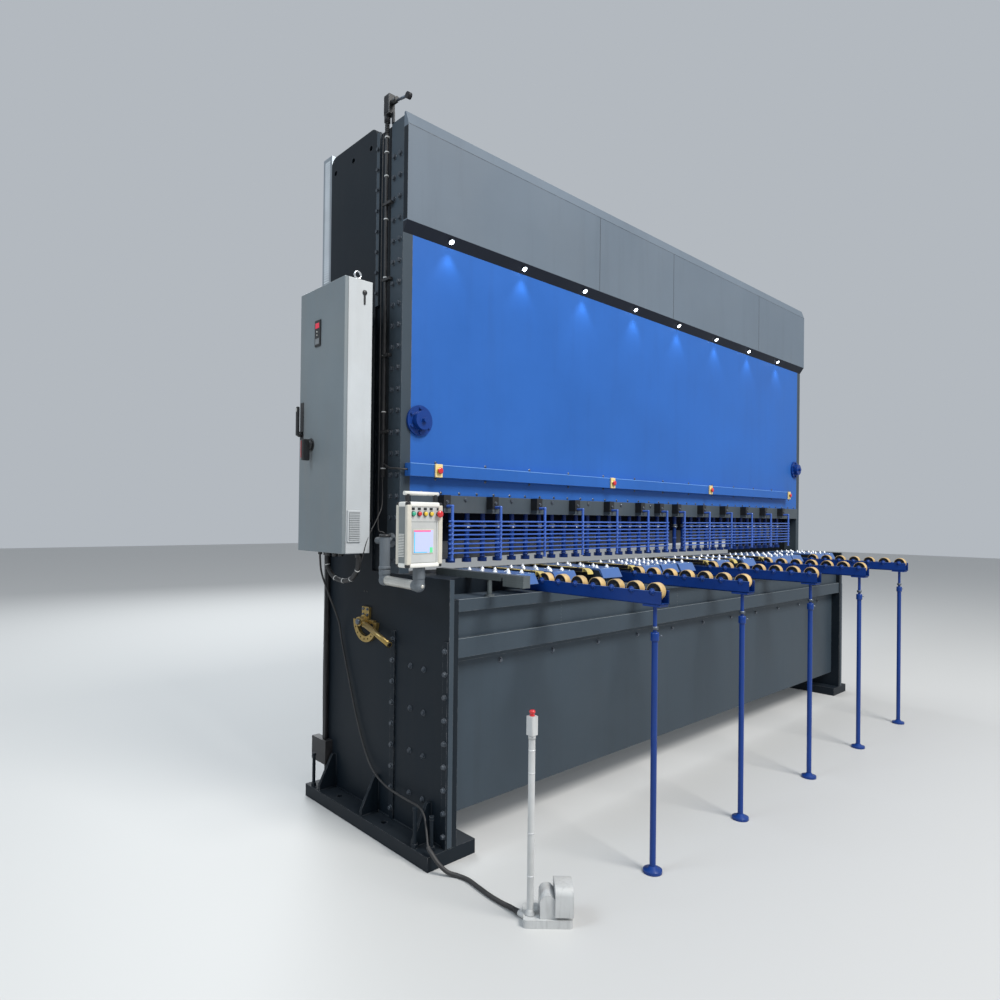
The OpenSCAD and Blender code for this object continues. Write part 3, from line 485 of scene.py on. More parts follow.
NODE_FINISH: dict[str, Finish] = {
    "side_frame_left": FRAME_SHADE_PAINT, "side_frame_right": FRAME_SHADE_PAINT, "base_plate_left": FRAME_SHADE_PAINT,
    "base_plate_right": FRAME_SHADE_PAINT, "guide_post_left": EDGE_PAINT, "guide_post_right": EDGE_PAINT,
    "fascia_cover": FASCIA_PAINT, "fascia_lamps": LAMP, "top_cover": FRAME_SHADE_PAINT, "rear_panel": FRAME_SHADE_PAINT,
    "rear_cross_beam": FRAME_SHADE_PAINT, "front_panel": PANEL_BLUE, "guide_housings": ARM_BLUE,
    "emergency_stop_rail": PANEL_BLUE, "emergency_stop_boxes": CREAM, "emergency_stop_buttons": STOP_RED,
    "hold_down_beam": BEAM_PAINT, "hold_down_rods": ARM_BLUE, "guard_left": GUARD_BLUE, "guard_right": GUARD_BLUE,
    "front_ledge": EDGE_PAINT, "front_band": EDGE_PAINT, "front_apron": EDGE_PAINT, "table_bed": FRAME_SHADE_PAINT,
    "lower_blade": BLADE_STEEL, "ram": RAM_BLUE, "upper_blade": BLADE_STEEL, "ram_cylinders": EDGE_PAINT,
    "squaring_arm": BAR_STEEL, "arm_channel_1": ARM_BLUE, "arm_channel_2": ARM_BLUE, "arm_channel_3": ARM_BLUE,
    "arm_channel_4": ARM_BLUE, "arm_channel_5": ARM_BLUE, "arm_wheels": TREAD, "arm_axles": ARM_BLUE,
    "arm_legs": ARM_BLUE, "ball_plates": PLATE_BLUE, "ball_units": BALL_PALE, "slide_strips": STRIP,
    "cabinet_body": CABINET, "cabinet_door": CABINET_DOOR_SHADE, "isolator_knob": BLACK, "door_handle": BLACK,
    "panel_bracket": GREY_CAST, "panel_arm": SILVER_TUBE, "arm_elbows": GREY_CAST, "control_panel": BEIGE,
    "gap_quadrant": ZINC, "gap_lever": ZINC, "limit_switch": BLACK, "rear_cable_tray": TRAY,
    "side_conduits": CABLE, "cabinet_cable": CABLE, "cabinet_eye": BRIGHT, "pedal_base": PEDAL_WHITE,
    "pedal_post": PEDAL_WHITE, "pedal_stop_button": STOP_RED, "pedal_cable": CABLE,
}


def dress_nodes() -> None:
    """Gives every carried-over node its finish."""
    for name, finish in NODE_FINISH.items():
        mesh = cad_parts[name].data
        mesh.materials.clear()
        mesh.materials.append(finish.material())


class Builder:
    """Collects simple shapes in one mesh and turns it into a piece."""

    def __init__(self, name: str) -> None:
        """Starts an empty piece of that name."""
        self.name = name
        self.mesh = bmesh.new()
        self.materials: list[bpy.types.Material] = []

    def paint(self, faces: Iterable[bmesh.types.BMFace], finish: Finish, smooth: bool) -> None:
        """Sets the finish and shading of new faces."""
        material = finish.material()
        if material not in self.materials:
            self.materials.append(material)
        for face in faces:
            face.material_index = self.materials.index(material)
            face.smooth = smooth

    def box(self, low: Sequence[float], high: Sequence[float], finish: Finish, bevel: float = 0.0,
            segments: int = 2) -> "Builder":
        """Adds a box with rounded edges.

        Args:
            low: the lowest corner.
            high: the highest corner.
            finish: its finish.
            bevel: the radius of its edges.
            segments: the number of faces round an edge.

        Returns:
            The builder itself.
        """
        low, high = Vector(low), Vector(high)
        made = bmesh.ops.create_cube(self.mesh, size=1.0)
        verts = made["verts"]
        bmesh.ops.scale(self.mesh, vec=high - low, verts=verts)
        bmesh.ops.translate(self.mesh, vec=(low + high) / 2, verts=verts)
        faces = {f for v in verts for f in v.link_faces}
        if bevel:
            edges = {e for v in verts for e in v.link_edges}
            done = bmesh.ops.bevel(self.mesh, geom=list(edges), offset=bevel, segments=segments, profile=0.5,
                                   affect="EDGES", clamp_overlap=True)
            faces = {f for v in done["verts"] for f in v.link_faces}
        self.paint(faces, finish, False)
        return self

    def rod(self, start: Sequence[float], end: Sequence[float], radius: float, finish: Finish,
            top: Optional[float] = None, sides: int = 24) -> "Builder":
        """Adds a round bar or cone.

        Args:
            start: the middle of its first end.
            end: the middle of its other end.
            radius: its radius at the start.
            finish: its finish.
            top: its radius at the end, where that differs.
            sides: the number of sides.

        Returns:
            The builder itself.
        """
        start, end = Vector(start), Vector(end)
        made = bmesh.ops.create_cone(self.mesh, cap_ends=True, segments=sides, radius1=radius,
                                     radius2=radius if top is None else top, depth=(end - start).length)
        turn = Vector((0, 0, 1)).rotation_difference((end - start).normalized()).to_matrix().to_4x4()
        bmesh.ops.transform(self.mesh, matrix=Matrix.Translation((start + end) / 2) @ turn, verts=made["verts"])
        faces = {f for v in made["verts"] for f in v.link_faces}
        self.paint(faces, finish, True)
        for face in faces:
            if len(face.verts) > 4:
                face.smooth = False
        return self

    def turned(self, profile: Sequence[tuple[float, float]], origin: Sequence[float], facing: Facing,
               finish: Finish, sides: int = 32) -> "Builder":
        """Adds a closed turned shape.

        Args:
            profile: radius and height pairs, from the axis at the bottom to the axis at the top.
            origin: where its foot stands.
            facing: the way its axis points.
            finish: its finish.
            sides: the number of sides.

        Returns:
            The builder itself.
        """
        rings: list[list[bmesh.types.BMVert]] = []
        for radius, height in profile:
            if radius < 1e-6:
                rings.append([self.mesh.verts.new((0, 0, height))])
                continue
            rings.append([self.mesh.verts.new((radius * math.cos(a), radius * math.sin(a), height))
                          for a in (2 * math.pi * k / sides for k in range(sides))])
        faces = []
        for a, b in zip(rings, rings[1:]):
            for k in range(sides):
                m = (k + 1) % sides
                if len(a) == 1:
                    faces.append(self.mesh.faces.new((a[0], b[m], b[k])))
                elif len(b) == 1:
                    faces.append(self.mesh.faces.new((a[k], a[m], b[0])))
                else:
                    faces.append(self.mesh.faces.new((a[k], a[m], b[m], b[k])))
        place = Matrix.LocRotScale(Vector(origin), Euler(facing.value), None)
        bmesh.ops.transform(self.mesh, matrix=place, verts=[v for ring in rings for v in ring])
        bmesh.ops.recalc_face_normals(self.mesh, faces=faces)
        self.paint(faces, finish, True)
        return self

    def piece(self, body: str, slot: str, replaces: Sequence[str] = ()) -> bpy.types.Object:
        """Ends the piece.

        Args:
            body: the body it rides on.
            slot: the record's material slot; not used.
            replaces: nodes that it stands for.

        Returns:
            The new object.
        """
        data = bpy.data.meshes.new(self.name)
        self.mesh.to_mesh(data)
        self.mesh.free()
        for material in self.materials:
            data.materials.append(material)
        return settle(bpy.data.objects.new(self.name, data), body, replaces)


def settle(piece: bpy.types.Object, body: str, replaces: Sequence[str] = ()) -> bpy.types.Object:
    """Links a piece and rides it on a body.

    Args:
        piece: the piece, in place.
        body: the body it rides on.
        replaces: nodes that it stands for.

    Returns:
        The piece.
    """
    if not piece.users_collection:
        bpy.context.scene.collection.objects.link(piece)
    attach(piece, body)
    if replaces:
        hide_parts(*replaces)
    return piece


@dataclass
class PhotoCamera:
    """The camera of the reference view, at its own place, angle and lens."""

    place: Point = (-3.7665, -2.376, 1.419)
    yaw: float = math.radians(42.894)
    pitch: float = math.radians(0.345)
    roll: float = math.radians(0.661)
    lens: float = 24.435
    shift: tuple[float, float] = (0.0074, 0.0136)

    def build(self) -> None:
        """Makes the camera and hands it to the scene."""
        ahead = Vector((math.sin(self.yaw) * math.cos(self.pitch), math.cos(self.yaw) * math.cos(self.pitch),
                        math.sin(self.pitch)))
        right = Vector((math.cos(self.yaw), -math.sin(self.yaw), 0.0))
        up = right.cross(ahead)
        turned_right = math.cos(self.roll) * right + math.sin(self.roll) * up
        turned_up = math.cos(self.roll) * up - math.sin(self.roll) * right
        data = bpy.data.cameras.new("reference_view")
        data.lens = self.lens
        data.sensor_width = 36.0
        data.shift_x, data.shift_y = self.shift
        data.clip_end = 200.0
        camera = bpy.data.objects.new("reference_view", data)
        turn = Matrix((turned_right, turned_up, -ahead)).transposed()
        camera.matrix_world = Matrix.Translation(self.place) @ turn.to_4x4()
        bpy.context.scene.collection.objects.link(camera)
        bpy.context.scene.camera = camera


@dataclass
class Studio:
    """A pale floor and soft light."""

    floor_size: float = 60.0
    floor_color: Color = (0.56, 0.56, 0.55)
    sky: Color = (0.82, 0.88, 0.95)
    sky_strength: float = 0.55

    def area(self, name: str, place: Point, aim: Point, size: float, power: float, color: Color) -> None:
        """Adds a square soft light.

        Args:
            name: its name.
            place: where it hangs.
            aim: the point it looks at.
            size: the length of its side.
            power: its power in watts.
            color: its colour.
        """
        data = bpy.data.lights.new(name, "AREA")
        data.shape = "SQUARE"
        data.size = size
        data.energy = power
        data.color = color
        lamp = bpy.data.objects.new(name, data)
        lamp.location = place
        lamp.rotation_euler = (Vector(aim) - Vector(place)).to_track_quat("-Z", "Y").to_euler()
        bpy.context.scene.collection.objects.link(lamp)

    def build(self) -> None:
        """Makes the floor, the sky light and the lamps."""
        half = self.floor_size / 2
        data = bpy.data.meshes.new("floor")
        data.from_pydata([(-half, -half, 0), (half, -half, 0), (half, half, 0), (-half, half, 0)], [], [(0, 1, 2, 3)])
        floor = bpy.data.objects.new("floor", data)
        bpy.context.scene.collection.objects.link(floor)
        paint = bpy.data.materials.new("floor")
        paint.use_nodes = True
        shader = paint.node_tree.nodes["Principled BSDF"]
        shader.inputs["Base Color"].default_value = (*self.floor_color, 1.0)
        shader.inputs["Roughness"].default_value = 0.55
        data.materials.append(paint)
        world = bpy.data.worlds.new("soft_sky")
        world.use_nodes = True
        world.node_tree.nodes["Background"].inputs["Color"].default_value = (*self.sky, 1.0)
        world.node_tree.nodes["Background"].inputs["Strength"].default_value = self.sky_strength
        bpy.context.scene.world = world
        bpy.context.scene.view_settings.view_transform = "Standard"
        self.area("key_light", (-0.5, -7.0, 9.0), (0.2, 0.0, 1.6), 4.0, 1150.0, (1.0, 0.98, 0.95))
        self.area("side_light", (-8.0, 1.5, 8.0), (-2.0, 0.3, 2.9), 3.0, 260.0, (0.78, 0.90, 1.0))
        self.area("rear_light", (1.0, 8.0, 6.0), (0.0, 0.5, 1.5), 5.0, 420.0, (0.93, 0.97, 1.0))


@dataclass
class LampGlow:
    """The cones of light that the lamps under the fascia throw on the panel."""

    power: float = 0.8
    angle: float = math.radians(78)

    def build(self) -> None:
        """Hangs a small spot light under each lamp."""
        low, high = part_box("fascia_lamps")
        count = 8
        for k in range(count):
            x = low[0] + 0.012 + (high[0] - low[0] - 0.024) * k / (count - 1)
            data = bpy.data.lights.new(f"lamp_glow_{k}", "SPOT")
            data.energy = self.power
            data.spot_size = self.angle
            data.spot_blend = 0.6
            data.shadow_soft_size = 0.02
            data.color = (0.72, 0.87, 1.0)
            lamp = bpy.data.objects.new(f"lamp_glow_{k}", data)
            lamp.location = (x, low[1] - 0.012, low[2] - 0.01)
            aim = Vector((x, high[1] + 0.03, low[2] - 0.42)) - Vector(lamp.location)
            lamp.rotation_euler = aim.to_track_quat("-Z", "Y").to_euler()
            bpy.context.scene.collection.objects.link(lamp)


def smooth_route(points: Sequence[Point], steps: int) -> list[Vector]:
    """A Catmull-Rom curve through points.

    Args:
        points: the points that it passes.
        steps: the number of pieces between two points.

    Returns:
        The curve's points, in the same units.
    """
    ends = [Vector(p) for p in points]
    ends = [2 * ends[0] - ends[1], *ends, 2 * ends[-1] - ends[-2]]
    route = []
    for a, b, c, d in zip(ends, ends[1:], ends[2:], ends[3:]):
        for k in range(steps):
            t = k / steps
            route.append(0.5 * (2 * b + (c - a) * t + (2 * a - 5 * b + 4 * c - d) * t * t
                                + (3 * b - a - 3 * c + d) * t ** 3))
    route.append(ends[-2])
    return route


def tube_mesh(route: Sequence[Vector], radii: Sequence[float], sides: int, name: str) -> bpy.types.Mesh:
    """A closed tube along a route.

    Args:
        route: the points of its middle line.
        radii: its radius at each point.
        sides: the number of sides.
        name: the mesh's name.

    Returns:
        The mesh.
    """
    shape = bmesh.new()
    across = Vector((0, 0, 1)).cross(route[1] - route[0])
    if across.length < 1e-6:
        across = Vector((1, 0, 0))
    across.normalize()
    rings = []
    for i, point in enumerate(route):
        ahead = (route[min(i + 1, len(route) - 1)] - route[max(i - 1, 0)]).normalized()
        across = (across - across.dot(ahead) * ahead).normalized()
        up = ahead.cross(across)
        rings.append([shape.verts.new(point + radii[i] * (math.cos(a) * across + math.sin(a) * up))
                      for a in (2 * math.pi * k / sides for k in range(sides))])
    for a, b in zip(rings, rings[1:]):
        for k in range(sides):
            m = (k + 1) % sides
            shape.faces.new((a[k], a[m], b[m], b[k])).smooth = True
    shape.faces.new(list(reversed(rings[0])))
    shape.faces.new(rings[-1])
    bmesh.ops.recalc_face_normals(shape, faces=shape.faces[:])
    mesh = bpy.data.meshes.new(name)
    shape.to_mesh(mesh)
    shape.free()
    return mesh


def length_of(route: Sequence[Vector]) -> float:
    """The length of a line of points."""
    return sum((b - a).length for a, b in zip(route, route[1:]))


@dataclass
class Cables:
    """The pedal's lead with its sleeve, and the cable bundle that hangs under the cabinet."""

    lead_d: float = 0.009
    sleeve_d: float = 0.018
    sleeve_from: int = 17
    bundle_d: float = 0.022
    lead_stops: tuple[Point, ...] = (
        (-150, 800, 1254.7), (-150, 800, 1235), (-150, 800, 1215), (-138, 804, 1140), (-90, 814, 1030),
        (-30, 826, 900), (-14, 820, 800), (-14, 747, 620), (-14, 670, 443), (-16, 590, 310), (-26, 505, 246),
        (-34, 400, 216), (-38, 300, 208), (-40, 210, 206), (-42, 130, 204), (-50, 85, 180), (-66, 48, 130),
        (-80, 20, 92), (-84, -10, 76), (-76, -40, 48), (-54, -72, 18), (-30, -108, 9.5), (-20, -160, 9.5),
        (-26, -230, 9.5), (-32, -300, 9.5), (-32, -355, 10), (-32, -395, 13), (-32, -412, 14), (-32, -430, 14),
        (-32, -449.7, 14))
    bundle_stops: tuple[Point, ...] = (
        (-150, 735, 1254.7), (-150, 735, 1240), (-150, 735, 1225), (-147, 728, 1180), (-140, 695, 1138),
        (-134, 645, 1122), (-132, 590, 1122), (-136, 530, 1138), (-142, 478, 1178), (-146, 462, 1225),
        (-146, 460, 1240), (-146, 460, 1254.7))

    def tube(self, name: str, route: Sequence[Vector], radii: Sequence[float], sides: int, slot: str,
             stands_for: Sequence[str]) -> bpy.types.Object:
        """Makes one black tube.

        Args:
            name: the piece's name.
            route: its middle line.
            radii: its radius at each point.
            sides: its number of sides.
            slot: the record's material slot; not used.
            stands_for: the nodes that it replaces.

        Returns:
            The piece.
        """
        mesh = tube_mesh(route, radii, sides, name)
        mesh.materials.append(CABLE.material())
        return settle(bpy.data.objects.new(name, mesh), "frame", stands_for)

    def pedal_lead(self) -> None:
        """Makes the pedal's lead and its ribbed sleeve."""
        route = [p / 1000 - MID for p in smooth_route(self.lead_stops, 4)]
        lead = self.tube("pedal_lead", route, [self.lead_d / 2] * len(route), 12, "cable_black", ["pedal_cable"])
        line = smooth_route(self.lead_stops, 12)[self.sleeve_from * 12:]
        line = [p / 1000 - MID for p in line]
        radii = [self.sleeve_d / 2 * (1.0 if k % 2 else 0.9) for k in range(len(line))]
        sleeve = self.tube("pedal_sleeve", line, radii, 14, "cable_black", [])
        gland = Builder("pedal_gland")
        tip = Vector((-0.032, -0.450, 0.014)) - MID
        gland.turned([(0.0, 0.0), (0.0110, 0.0), (0.0110, 0.006), (0.0104, 0.012), (0.0096, 0.022), (0.0092, 0.028),
                      (0.0, 0.028)], tip - Vector((0, 0.004, 0)), Facing.REAR, BLACK, 20)
        collar = gland.piece("frame", "pedal_white")
        log.info("pedal lead: %.2f m", length_of(route))

    def bundle(self) -> None:
        """Makes the hanging bundle and its ties."""
        route = [p / 1000 - MID for p in smooth_route(self.bundle_stops, 5)]
        loop = self.tube("cabinet_bundle", route, [self.bundle_d / 2] * len(route), 14, "cable_black",
                         ["cabinet_cable"])
        ties = Builder("bundle_ties")
        for k in (14, 22, 28, 34, 40):
            ahead = (route[k + 1] - route[k - 1]).normalized()
            ties.rod(route[k] - ahead * 0.0022, route[k] + ahead * 0.0022, 0.0118, TIE_WHITE, sides=14)
        ties.piece("frame", "cable_black")
        log.info("cabinet bundle: %.2f m", length_of(route))

    def build(self) -> None:
        """Makes every cable."""
        self.pedal_lead()
        self.bundle()


@dataclass(frozen=True)
class Spot:
    """One place in a row of repeated parts."""

    place: Vector
    facing: Facing
    size: float = 1.0


def spots(facing: Facing, xs: Iterable[float], ys: Iterable[float], zs: Iterable[float],
          size: float = 1.0) -> list[Spot]:
    """Every combination of the machine's X, Y and Z places given.

    Args:
        facing: the way each one points.
        xs: the X places.
        ys: the Y places.
        zs: the Z places.
        size: the scale of each one.

    Returns:
        The spots.
    """
    xs, ys, zs = list(xs), list(ys), list(zs)
    return [Spot(at(x, y, z), facing, size) for x in xs for y in ys for z in zs]


def steps(first: float, last: float, pitch: float) -> list[float]:
    """Places from the first to the last, a pitch apart."""
    return [first + pitch * k for k in range(int((last - first) / pitch + 1e-6) + 1)]


def both_sides(left: Sequence[Spot]) -> list[Spot]:
    """The spots of the left side, and their mirror image on the right side."""
    turned = {Facing.LEFT: Facing.RIGHT, Facing.RIGHT: Facing.LEFT}
    right = [Spot(Vector((2 * at(FRAME_W / 2, 0, 0).x - s.place.x, s.place.y, s.place.z)),
                  turned.get(s.facing, s.facing), s.size) for s in left]
    return [*left, *right]


class GrowTree:
    """A Geometry Nodes tree that sets a small part on each point of a mesh."""

    def __init__(self, name: str, sizes: dict[str, str]) -> None:
        """Makes the tree's sockets.

        Args:
            name: the tree's name.
            sizes: the named inputs and their socket types.
        """
        self.tree = bpy.data.node_groups.new(name, "GeometryNodeTree")
        face = self.tree.interface
        face.new_socket("Points", in_out="INPUT", socket_type="NodeSocketGeometry")
        for label, kind in sizes.items():
            face.new_socket(label, in_out="INPUT", socket_type=kind)
        face.new_socket("Finish", in_out="INPUT", socket_type="NodeSocketMaterial")
        face.new_socket("Geometry", in_out="OUTPUT", socket_type="NodeSocketGeometry")
        self.n = NodeTree(self.tree)
        self.gin = self.n.add("NodeGroupInput")
        self.gout = self.n.add("NodeGroupOutput")

    def cone(self, sides: object, low: object, high: object, depth: object,
             lift: object = None) -> bpy.types.NodeSocket:
        """A cone section.

        Args:
            sides: the number of sides, a socket or a number.
            low: its lower radius.
            high: its upper radius.
            depth: its height.
            lift: how far up it stands.

        Returns:
            Its geometry.
        """
        node = self.n.add("GeometryNodeMeshCone", fill_type="NGON")
        for label, value in (("Vertices", sides), ("Radius Bottom", low), ("Radius Top", high), ("Depth", depth)):
            if isinstance(value, (int, float)):
                node.inputs[label].default_value = value
            else:
                self.n.link(value, node.inputs[label])
        if lift is None:
            return node.outputs["Mesh"]
        move = self.n.add("GeometryNodeTransform")
        up = self.n.add("ShaderNodeCombineXYZ")
        self.n.link(lift, up.inputs["Z"])
        self.n.link(up.outputs[0], move.inputs["Translation"])
        self.n.link(node.outputs["Mesh"], move.inputs["Geometry"])
        return move.outputs["Geometry"]

    def finish(self, parts: Sequence[bpy.types.NodeSocket], smooth: bool, spin: float) -> bpy.types.NodeTree:
        """Sets the parts on the points, makes them real and paints them.

        Args:
            parts: the geometry of one repeated part.
            smooth: whether its faces are shaded smooth.
            spin: the most that each one turns at random about its own axis.

        Returns:
            The finished tree.
        """
        n = self.n
        join = n.add("GeometryNodeJoinGeometry")
        for part in parts:
            n.link(part, join.inputs["Geometry"])
        place = n.add("GeometryNodeInstanceOnPoints")
        n.link(self.gin.outputs["Points"], place.inputs["Points"])
        n.link(join.outputs[0], place.inputs["Instance"])
        turn = n.add("GeometryNodeInputNamedAttribute", data_type="FLOAT_VECTOR")
        turn.inputs["Name"].default_value = "turn"
        euler = n.add("FunctionNodeEulerToRotation")
        n.link(turn.outputs["Attribute"], euler.inputs[0])
        n.link(euler.outputs[0], place.inputs["Rotation"])
        size = n.add("GeometryNodeInputNamedAttribute", data_type="FLOAT")
        size.inputs["Name"].default_value = "size"
        n.link(size.outputs["Attribute"], place.inputs["Scale"])
        chance = n.add("FunctionNodeRandomValue", data_type="FLOAT")
        chance.inputs[3].default_value = spin
        chance.inputs["Seed"].default_value = 7
        about = n.add("ShaderNodeCombineXYZ")
        n.link(chance.outputs[1], about.inputs["Z"])
        spun = n.add("GeometryNodeRotateInstances")
        n.link(place.outputs[0], spun.inputs["Instances"])
        own = n.add("FunctionNodeEulerToRotation")
        n.link(about.outputs[0], own.inputs[0])
        n.link(own.outputs[0], spun.inputs["Rotation"])
        real = n.add("GeometryNodeRealizeInstances")
        n.link(spun.outputs[0], real.inputs[0])
        shade = n.add("GeometryNodeSetShadeSmooth")
        shade.inputs["Shade Smooth"].default_value = smooth
        n.link(real.outputs[0], shade.inputs["Geometry"])
        paint = n.add("GeometryNodeSetMaterial")
        n.link(shade.outputs[0], paint.inputs["Geometry"])
        n.link(self.gin.outputs["Finish"], paint.inputs["Material"])
        n.link(paint.outputs[0], self.gout.inputs[0])
        return self.tree


def head_tree(head: Head) -> bpy.types.NodeTree:
    """The tree that sets bolt heads with washers.

    Args:
        head: the kind of head.

    Returns:
        The tree.
    """
    known = bpy.data.node_groups.get(f"Heads_{head.value}")
    if known:
        return known
    grow = GrowTree(f"Heads_{head.value}", {"Head Radius": FLOAT, "Head Height": FLOAT, "Washer Radius": FLOAT,
                                            "Washer Height": FLOAT})
    n, gin = grow.n, grow.gin
    radius, height = gin.outputs["Head Radius"], gin.outputs["Head Height"]
    foot = gin.outputs["Washer Height"]
    washer = grow.cone(14, gin.outputs["Washer Radius"],
                       n.math("MULTIPLY", gin.outputs["Washer Radius"], 0.94), foot)
    if head is Head.DOME:
        rise = [0.45, 0.35, 0.2]
        ring = [1.0, 0.9, 0.62, 0.25]
        sides = 12
    else:
        rise = [0.8, 0.2]
        ring = [1.0, 1.0, 0.84]
        sides = 6 if head is Head.HEX else 12
    parts, lift = [washer], foot
    for k, share in enumerate(rise):
        parts.append(grow.cone(sides, n.math("MULTIPLY", radius, ring[k]), n.math("MULTIPLY", radius, ring[k + 1]),
                               n.math("MULTIPLY", height, share), lift))
        lift = n.math("ADD", lift, n.math("MULTIPLY", height, share))
    return grow.finish(parts, head is Head.DOME, 1.0 if head is Head.HEX else 0.0)


def block_tree() -> bpy.types.NodeTree:
    """The tree that sets small blocks, such as slats and slots."""
    known = bpy.data.node_groups.get("Blocks")
    if known:
        return known
    grow = GrowTree("Blocks", {"Size": VECTOR})
    cube = grow.n.add("GeometryNodeMeshCube")
    grow.n.link(grow.gin.outputs["Size"], cube.inputs["Size"])
    return grow.finish([cube.outputs["Mesh"]], False, 0.0)


def ring_tree() -> bpy.types.NodeTree:
    """The tree that sets rings, such as cable ties, collars and springs' turns."""
    known = bpy.data.node_groups.get("Rings")
    if known:
        return known
    grow = GrowTree("Rings", {"Radius": FLOAT, "Wire": FLOAT, "Stretch": VECTOR})
    n = grow.n
    big = n.add("GeometryNodeCurvePrimitiveCircle")
    big.inputs["Resolution"].default_value = 14
    n.link(grow.gin.outputs["Radius"], big.inputs["Radius"])
    small = n.add("GeometryNodeCurvePrimitiveCircle")
    small.inputs["Resolution"].default_value = 6
    n.link(grow.gin.outputs["Wire"], small.inputs["Radius"])
    tube = n.add("GeometryNodeCurveToMesh")
    n.link(big.outputs["Curve"], tube.inputs["Curve"])
    n.link(small.outputs["Curve"], tube.inputs["Profile Curve"])
    stretch = n.add("GeometryNodeTransform")
    n.link(tube.outputs[0], stretch.inputs["Geometry"])
    n.link(grow.gin.outputs["Stretch"], stretch.inputs["Scale"])
    return grow.finish([stretch.outputs[0]], True, 0.0)


def grown(name: str, places: Sequence[Spot], tree: bpy.types.NodeTree, values: dict[str, object], finish: Finish,
          body: str = "frame") -> bpy.types.Object:
    """Runs a tree over the places and keeps the result as a plain mesh.

    Args:
        name: the piece's name.
        places: where the parts stand.
        tree: the tree that makes them.
        values: the tree's inputs by name.
        finish: their finish.
        body: the body that they ride on.

    Returns:
        The piece.
    """
    points = bpy.data.meshes.new(name)
    points.from_pydata([s.place for s in places], [], [])
    points.attributes.new("turn", "FLOAT_VECTOR", "POINT")
    points.attributes.new("size", "FLOAT", "POINT")
    for k, spot in enumerate(places):
        points.attributes["turn"].data[k].vector = spot.facing.value
        points.attributes["size"].data[k].value = spot.size
    piece = bpy.data.objects.new(name, points)
    bpy.context.scene.collection.objects.link(piece)
    modifier = piece.modifiers.new("grow", "NODES")
    modifier.node_group = tree
    keys = {item.name: item.identifier for item in tree.interface.items_tree
            if item.item_type == "SOCKET" and item.in_out == "INPUT"}
    for label, value in {**values, "Finish": finish.material()}.items():
        modifier[keys[label]] = value
    ready = piece.evaluated_get(bpy.context.evaluated_depsgraph_get())
    mesh = bpy.data.meshes.new_from_object(ready)
    piece.modifiers.clear()
    piece.data = mesh
    mesh.name = name
    for label in ("turn", "size"):
        if label in mesh.attributes:
            mesh.attributes.remove(mesh.attributes[label])
    return settle(piece, body)


@dataclass(frozen=True)
class Fastener:
    """A bolt or screw head with its washer."""

    head: Head
    radius: float
    height: float
    washer: float
    washer_height: float = 0.002
    finish: Finish = BOLT_STEEL

    def set_on(self, name: str, places: Sequence[Spot], body: str = "frame", slot: str = "frame_paint") -> None:
        """Sets one on each place.

        Args:
            name: the piece's name.
            places: where they go.
            body: the body that they ride on.
            slot: the record's material slot; not used.
        """
        values = {"Head Radius": self.radius, "Head Height": self.height, "Washer Radius": self.washer,
                  "Washer Height": self.washer_height}
        grown(name, places, head_tree(self.head), values, self.finish, body)
        log.info("%s: %d heads", name, len(places))


